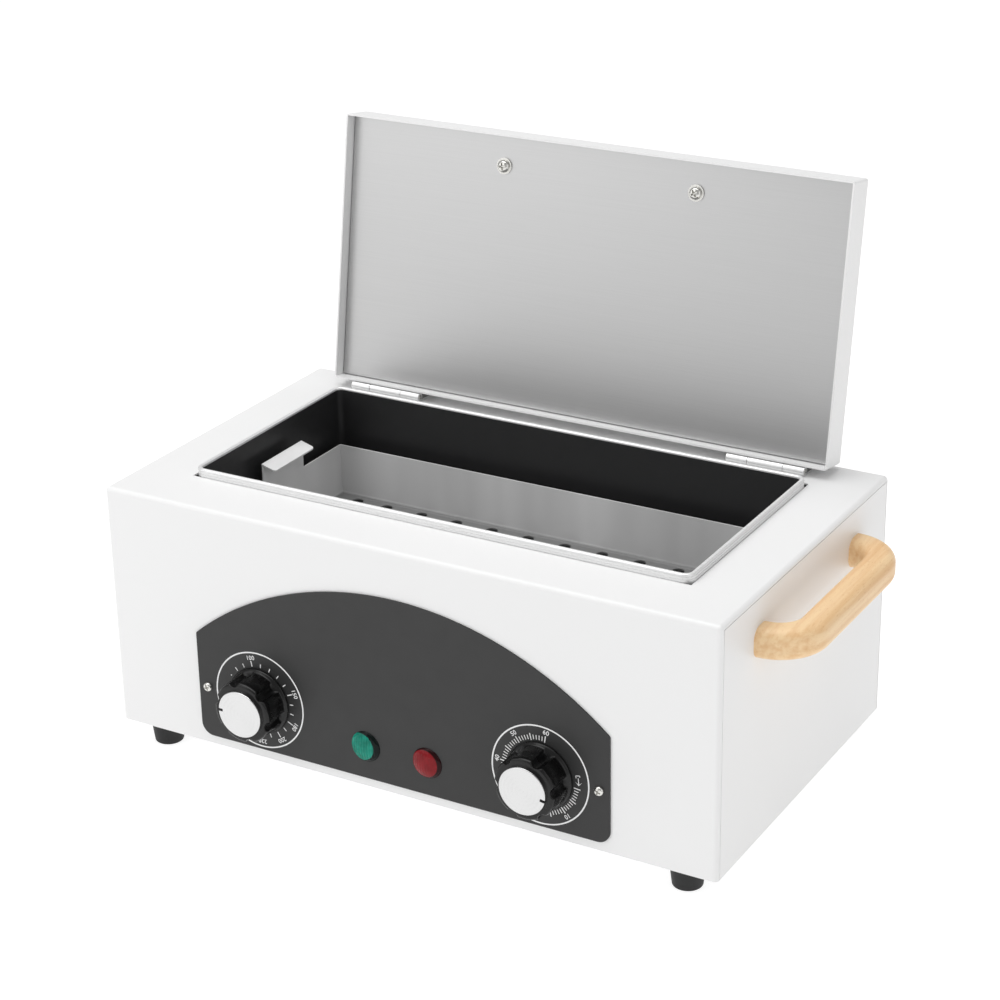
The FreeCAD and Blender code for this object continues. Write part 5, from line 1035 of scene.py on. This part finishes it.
@dataclass
class ControlPanel:
    """The dark panel with its screws, lamps and dials.

    Args:
        rib_mm: Pitch of the upright ribs on a lens.
        green_rib_mm: Depth of the ribs of the green lens.
        red_rib_mm: Depth of the red lens's faint ribs.
        rib_end: Shares of a lens's radius between which they run out.
        wall_mm: Height of a lens's wall.
        screw_turns_deg: Turns of the two screws.
        hundred_deg: Angle of 100 degrees, clockwise from the top.
        degree_step: Angle of ten degrees.
        zero_deg: Angle of zero minutes.
        minute_step: Angle of one minute.
    """

    rib_mm: float = 1.6
    green_rib_mm: float = 0.16
    red_rib_mm: float = 0.032
    rib_end: Pair = (0.78, 0.86)
    wall_mm: float = 0.8
    lens_rings: int = 64
    lens_segments: int = 192
    screw_turns_deg: Pair = (20.0, 65.0)
    hundred_deg: float = 349.1
    degree_step: float = 15.83
    zero_deg: float = 96.5
    minute_step: float = 4.53

    def dome(self, lens_mm: float, dome_mm: float, rib_deep_mm: float) -> HeightAt:
        """Height of a shallow ribbed dome over a thin wall.

        Args:
            lens_mm: Radius of the lens.
            dome_mm: Height at its middle.
            rib_deep_mm: Depth of its ribs.

        Returns:
            The height at a place on the lens.
        """

        def height(x: float, y: float) -> float:
            """Height of the lens at a point, in mm.

            Args:
                x: Place across the lens in mm.
                y: Place up the lens in mm.

            Returns:
                The height over the panel.
            """
            share = min(math.hypot(x, y) / lens_mm, 1.0)
            bulge = (dome_mm - self.wall_mm) * (1 - share**2)
            wall = self.wall_mm * math.sqrt(1 - share**12)
            fading = 1 - ease(share, *self.rib_end)
            ribs = rib_deep_mm * (math.cos(2 * math.pi * x / self.rib_mm) - 1) * fading
            return max(bulge + wall + ribs, 0.0)

        return height

    def lens(self, node: str, rib_deep_mm: float, finish: TintedLens) -> None:
        """Build one lens in place of its solid.

        Args:
            node: The lens's node.
            rib_deep_mm: Depth of its ribs.
            finish: Its finish, which is centred on the lens here.
        """
        low, high = corners_of(node)
        radius, depth = (high.x - low.x) / 2 / MM, (high.y - low.y) / MM
        place = on_panel(node)
        centred = replace(finish, centre=tuple(place.translation))
        face = self.dome(radius, depth, rib_deep_mm)
        sheet = Relief(radius, self.lens_rings, self.lens_segments, face).sheet()
        piece = sheet.piece(node + "_moulding", place, centred)
        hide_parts(node)
        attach(piece, Body.HOUSING.value)
        LOG.info("%s moulded", node)

    def screws(self) -> None:
        """Build the two panel screws in place of their solids."""
        low, high = corners_of("panel_screws")
        head = PanHead()
        edge = head.head_mm * MM
        middle = on_panel("panel_screws")
        both = Sheet()
        for x, turn in zip((low.x + edge, high.x - edge), self.screw_turns_deg):
            aside = Matrix.Translation((x - middle.translation.x, 0, 0))
            both.merge(head.sheet(), aside @ middle @ Matrix.Rotation(math.radians(turn), 4, "Z"))
        piece = both.piece("panel_pan_screws", Matrix.Identity(4), PLATED)
        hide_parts("panel_screws")
        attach(piece, Body.HOUSING.value)
        LOG.info("panel screws built")

    def temperature_dial(self, centre: Vector) -> Dial:
        """The scale of the thermostat, with a dot where it starts.

        Args:
            centre: Knob axis on the panel.

        Returns:
            The dial, ready to print.
        """

        def angle(degrees: float) -> float:
            """Where a temperature stands on the ring."""
            return self.hundred_deg + self.degree_step * (degrees - 100) / 10

        labelled = (100, 150, 180, 200, 220)
        long = [angle(value) for value in labelled]
        short = [angle(value) for value in range(80, 221, 10) if value not in labelled]
        ticks = [Ticks(long, 19.3, 22.6, 0.6), Ticks(short, 19.4, 21.6, 0.55)]
        ticks.append(Ticks([angle(70)], 20.2, 20.8, 0.6))
        numbers = [(str(value), angle(value)) for value in labelled]
        return Dial("temperature_print", centre, numbers, ticks, number_mm=24.2)

    def timer_dial(self, centre: Vector) -> Dial:
        """The scale of the timer, in minutes.

        Args:
            centre: Knob axis on the panel.

        Returns:
            The dial, ready to print.
        """

        def angle(minutes: float) -> float:
            """Where a time stands on the ring."""
            return self.zero_deg + self.minute_step * minutes

        fives = [angle(value) for value in range(5, 61, 5)] + [angle(0)]
        ones = [angle(value) for value in range(1, 60) if value % 5]
        ticks = [Ticks(fives, 19.2, 22.9, 0.6), Ticks(ones, 19.6, 22.1, 0.5)]
        numbers = [(str(value), angle(value)) for value in range(10, 61, 10)]
        return Dial("timer_print", centre, numbers, ticks, number_mm=24.7, mark=TurnMark())

    def build(self) -> None:
        """Dress the panel and add its lenses, screws and dials."""
        dress(PANEL_COAT, "front_panel")
        dress(BLACK_MOULDING, "thermostat_body", "timer_body", "lamp_barrels")
        dress(PLATED, "spindle_nuts", "thermostat_shaft", "timer_shaft")
        self.lens("lamp_lens_green", self.green_rib_mm, GREEN_LENS)
        self.lens("lamp_lens_red", self.red_rib_mm, RED_LENS)
        self.screws()
        self.temperature_dial(on_panel("temperature_knob").translation).build()
        self.timer_dial(on_panel("timer_knob").translation).build()


@dataclass
class Knob:
    """A glossy lobed knob on a round skirt, with a spun cap.

    Args:
        node: The knob's node.
        body: The body that it rides on.
        flute_deg: First groove, clockwise from the top.
        lift_mm: Gap between the panel and the skirt.
        bore_mm: Radius of the shaft's bore.
        well_mm: Radius of the hollow in the back.
        well_floor_mm: Height of its floor over the panel.
        flute_mm: Radius of a groove.
        flute_centre_mm: Radius that the grooves' centres lie on.
        flute_reach_mm: Heights over the panel between which they begin.
        flare: How steeply a groove opens at its sides.
        blend_mm: Width of the round between a groove and a lobe.
        cap: Colour of the cap as sRGB hex.
        base_mm: Insets from the skirt's radius with heights over its back.
        nose_mm: The same insets with distances behind the front.
    """

    node: str
    body: Body
    flute_deg: float
    lift_mm: float = 0.6
    bore_mm: float = 3.05
    well_mm: float = 8.6
    well_floor_mm: float = 5.0
    flutes: int = 6
    flute_mm: float = 3.2
    flute_centre_mm: float = 18.0
    flute_reach_mm: Pair = (2.3, 3.6)
    flare: float = 2.5
    blend_mm: float = 1.5
    segments: int = 288
    smooth_deg: float = 50.0
    cap: str = "#D6D6D6"
    cap_roughness: float = 0.2
    base_mm: tuple[Pair, ...] = (
        (0.3, 0.0), (0.0, 0.15), (0.0, 0.7), (0.2, 1.0), (0.7, 1.5), (1.15, 1.95), (1.32, 2.3), (1.4, 2.8),
    )
    nose_mm: tuple[Pair, ...] = (
        (1.42, 12.4), (1.45, 8.0), (1.5, 4.0), (1.55, 2.0), (1.65, 1.2), (1.9, 0.6), (2.3, 0.25), (2.9, 0.05),
        (3.6, 0.0), (6.1, 0.0),
    )

    def outline(self, skirt_mm: float, length_mm: float) -> list[Pair]:
        """The knob's outline, from the back of its skirt to its front.

        Args:
            skirt_mm: Radius of the skirt.
            length_mm: Front of the knob from the panel.

        Returns:
            Radius and height of each ring in mm.
        """
        rows = [(skirt_mm - inset, self.lift_mm + height) for inset, height in self.base_mm]
        return rows + [(skirt_mm - inset, length_mm - behind) for inset, behind in self.nose_mm]

    def radius(self, turn: float, lobe: float, height: float) -> float:
        """Radius in mm at an angle, where the grooves cut the round.

        Args:
            turn: Angle from the middle of the nearest groove, in radians.
            lobe: Radius of the lobes at this height.
            height: Height above the panel.

        Returns:
            The radius.
        """
        side = abs(self.flute_centre_mm * math.sin(turn))
        front = self.flute_centre_mm * math.cos(turn)
        inside = max(self.flute_mm**2 - side**2, 0.0)
        groove = front - math.sqrt(inside) + max(side - self.flute_mm, 0.0) * self.flare
        cut = blend_low(lobe, groove, self.blend_mm)
        return lobe + (cut - lobe) * ease(height, *self.flute_reach_mm)

    def build(self) -> None:
        """Build the knob in place of its solid, and dress its cap."""
        pitch = 2 * math.pi / self.flutes
        first = math.pi / 2 - math.radians(self.flute_deg)
        back = (
            (self.bore_mm, self.well_floor_mm),
            (self.well_mm, self.well_floor_mm),
            (self.well_mm, self.lift_mm),
        )
        rows = [ring_of(radius, height, self.segments) for radius, height in back]
        low, high = corners_of(self.node)
        place = on_panel(self.node)
        outline = self.outline((high.x - low.x) / 2 / MM, (place.translation.y - low.y) / MM)
        for lobe, height in outline:
            row = []
            for step in range(self.segments):
                turn = 2 * math.pi * step / self.segments
                nearest = (turn - first + pitch / 2) % pitch - pitch / 2
                reach = self.radius(nearest, lobe, height)
                row.append(Vector((reach * math.cos(turn), reach * math.sin(turn), height)))
            rows.append(row)
        sheet = Sheet()
        front = Vector((0, 0, outline[-1][1])) * MM
        scaled = [[point * MM for point in row] for row in rows]
        sheet.strip(scaled)
        sheet.close(scaled[-1], front)
        piece = sheet.piece(self.node + "_moulding", place, KNOB_PLASTIC, self.smooth_deg)
        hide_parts(self.node)
        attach(piece, self.body.value)
        title = self.node + "_spun_cap"
        middle = tuple((low + high) / 2)
        dress(SpunAluminium(title, self.cap, self.cap_roughness, 1.0, centre=middle), self.node + "_cap")
        LOG.info("%s moulded", self.node)


@dataclass
class Lid:
    """The insulated lid, which stands open at rest.

    Args:
        open_deg: How far it stands open.
        screw_turns_deg: Turns of its two handle screws.
        head: Form of those screws.
    """

    open_deg: float = 99.0
    screw_turns_deg: Pair = (10.0, 35.0)
    head: PanHead = PanHead(
        head_mm=3.6, tall_mm=2.4, shank_mm=(2.0, 28.0), arm_mm=2.0, arm_wide_mm=0.46, recess_mm=1.3
    )

    def swung(self) -> Matrix:
        """The turn from the closed lid to the open one, about the hinge line.

        Returns:
            The turn in the row frame.
        """
        joint = next(joint for joint in frame["joints"] if joint["name"] == "lid_hinge")
        pivot = Matrix.Translation(joint["pos_m"])
        return pivot @ Matrix.Rotation(-math.radians(self.open_deg), 4, "X") @ pivot.inverted()

    def screws(self) -> None:
        """Build the two handle screws in place of their solids."""
        back = self.swung().inverted()
        corners = [back @ vertex.co for vertex in frame["nodes"]["lid_handle_washers"].data.vertices]
        low, high = (Vector([end(values) for values in zip(*corners)]) for end in (min, max))
        washer = (high.y - low.y) / 2
        both = Sheet()
        for x, turn in zip((low.x + washer, high.x - washer), self.screw_turns_deg):
            place = Matrix.Translation((x, low.y + washer, low.z)) @ Matrix.Rotation(math.pi, 4, "X")
            turned = place @ Matrix.Rotation(math.radians(turn), 4, "Z")
            both.merge(self.head.sheet(), self.swung() @ turned)
        piece = both.piece("lid_pan_screws", Matrix.Identity(4), PLATED)
        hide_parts("lid_handle_screws")
        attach(piece, Body.LID.value)
        LOG.info("lid screws built")

    def build(self) -> None:
        """Dress the lid and add its screws."""
        dress(WHITE_COAT, "lid_shell")
        dress(LINER_STEEL, "lid_liner")
        dress(WOOL, "lid_insulation")
        dress(PLATED, "lid_handle_washers")
        dress(BEECH_ACROSS, "lid_handle")
        self.screws()


@dataclass(frozen=True)
class SoftLight:
    """A square area light that faces the object."""

    name: str
    place_m: Point
    size_m: float
    watts: float


@dataclass
class Studio:
    """A pale floor, soft lights and the camera.

    Args:
        camera_m: Place of the camera in metres.
        azimuth_deg: Turn of the view, from straight at the front.
        elevation_deg: How far the view looks down.
        roll_deg: Turn about the line of sight.
        focal_px: Focal length in pixels of the picture.
        sky: Strength of the even light from all round.
        aim_m: The point that the lights face.
    """

    camera_m: Point = (0.6243, -1.0678, 0.6727)
    azimuth_deg: float = 30.23
    elevation_deg: float = 23.30
    roll_deg: float = -1.04
    focal_px: float = 2541.5
    sensor_mm: float = 36.0
    clip_m: float = 0.05
    floor_m: float = 12.0
    sky: float = 0.45
    aim_m: Point = (0.0, 0.0, 0.12)
    lights: tuple[SoftLight, ...] = (
        SoftLight("overhead", (-0.3, -0.1, 1.9), 1.8, 25.0),
        SoftLight("front", (-0.85, -1.15, 0.75), 1.0, 3.8),
        SoftLight("right", (1.9, -0.6, 0.9), 1.2, 3.4),
    )

    def camera(self) -> None:
        """Add the camera."""
        lens = bpy.data.cameras.new("camera")
        lens.sensor_width = self.sensor_mm
        lens.lens = self.focal_px * self.sensor_mm / PICTURE_PX
        lens.clip_start = self.clip_m
        holder = bpy.data.objects.new("camera", lens)
        bpy.context.scene.collection.objects.link(holder)
        turn = Matrix.Rotation(math.radians(self.azimuth_deg), 4, "Z")
        tilt = Matrix.Rotation(math.radians(90 - self.elevation_deg), 4, "X")
        roll = Matrix.Rotation(math.radians(self.roll_deg), 4, "Z")
        holder.matrix_world = Matrix.Translation(self.camera_m) @ turn @ tilt @ roll
        bpy.context.scene.camera = holder

    def floor(self) -> None:
        """Add the floor."""
        half = self.floor_m / 2
        corners = ((-half, -half), (half, -half), (half, half), (-half, half))
        sheet = Sheet()
        sheet.patch([Vector((x, y, 0)) for x, y in corners])
        finish = StudioFloor("pale_floor", "#A8A8A8", 0.9, ior=1.1)
        sheet.piece("floor", Matrix.Identity(4), finish)

    def light(self, source: SoftLight) -> None:
        """Add a light.

        Args:
            source: Its place, size and power.
        """
        lamp = bpy.data.lights.new(source.name, "AREA")
        lamp.size = source.size_m
        lamp.energy = source.watts
        holder = bpy.data.objects.new(source.name, lamp)
        bpy.context.scene.collection.objects.link(holder)
        aim = Vector(self.aim_m) - Vector(source.place_m)
        facing = aim.to_track_quat("-Z", "Y").to_matrix().to_4x4()
        holder.matrix_world = Matrix.Translation(source.place_m) @ facing

    def build(self) -> None:
        """Set up the view and the light."""
        self.camera()
        self.floor()
        world = bpy.data.worlds.new("studio")
        world.use_nodes = True
        background = next(node for node in world.node_tree.nodes if node.type == "BACKGROUND")
        background.inputs["Color"].default_value = linear("#FFFFFF")
        background.inputs["Strength"].default_value = self.sky
        bpy.context.scene.world = world
        bpy.context.scene.view_settings.view_transform = "Standard"
        for source in self.lights:
            self.light(source)
        LOG.info("studio set")


def main() -> None:
    """Build the sub-assemblies in order."""
    logging.basicConfig(level=logging.INFO, format="%(message)s")
    Studio().build()
    Casing().finish()
    Chamber().finish()
    Hinges().finish()
    Inlet().finish()
    ControlPanel().build()
    Knob("temperature_knob", Body.TEMPERATURE, 285.4).build()
    Knob("timer_knob", Body.TIMER, 144.0).build()
    Lid().build()


if __name__ == "__main__":
    main()
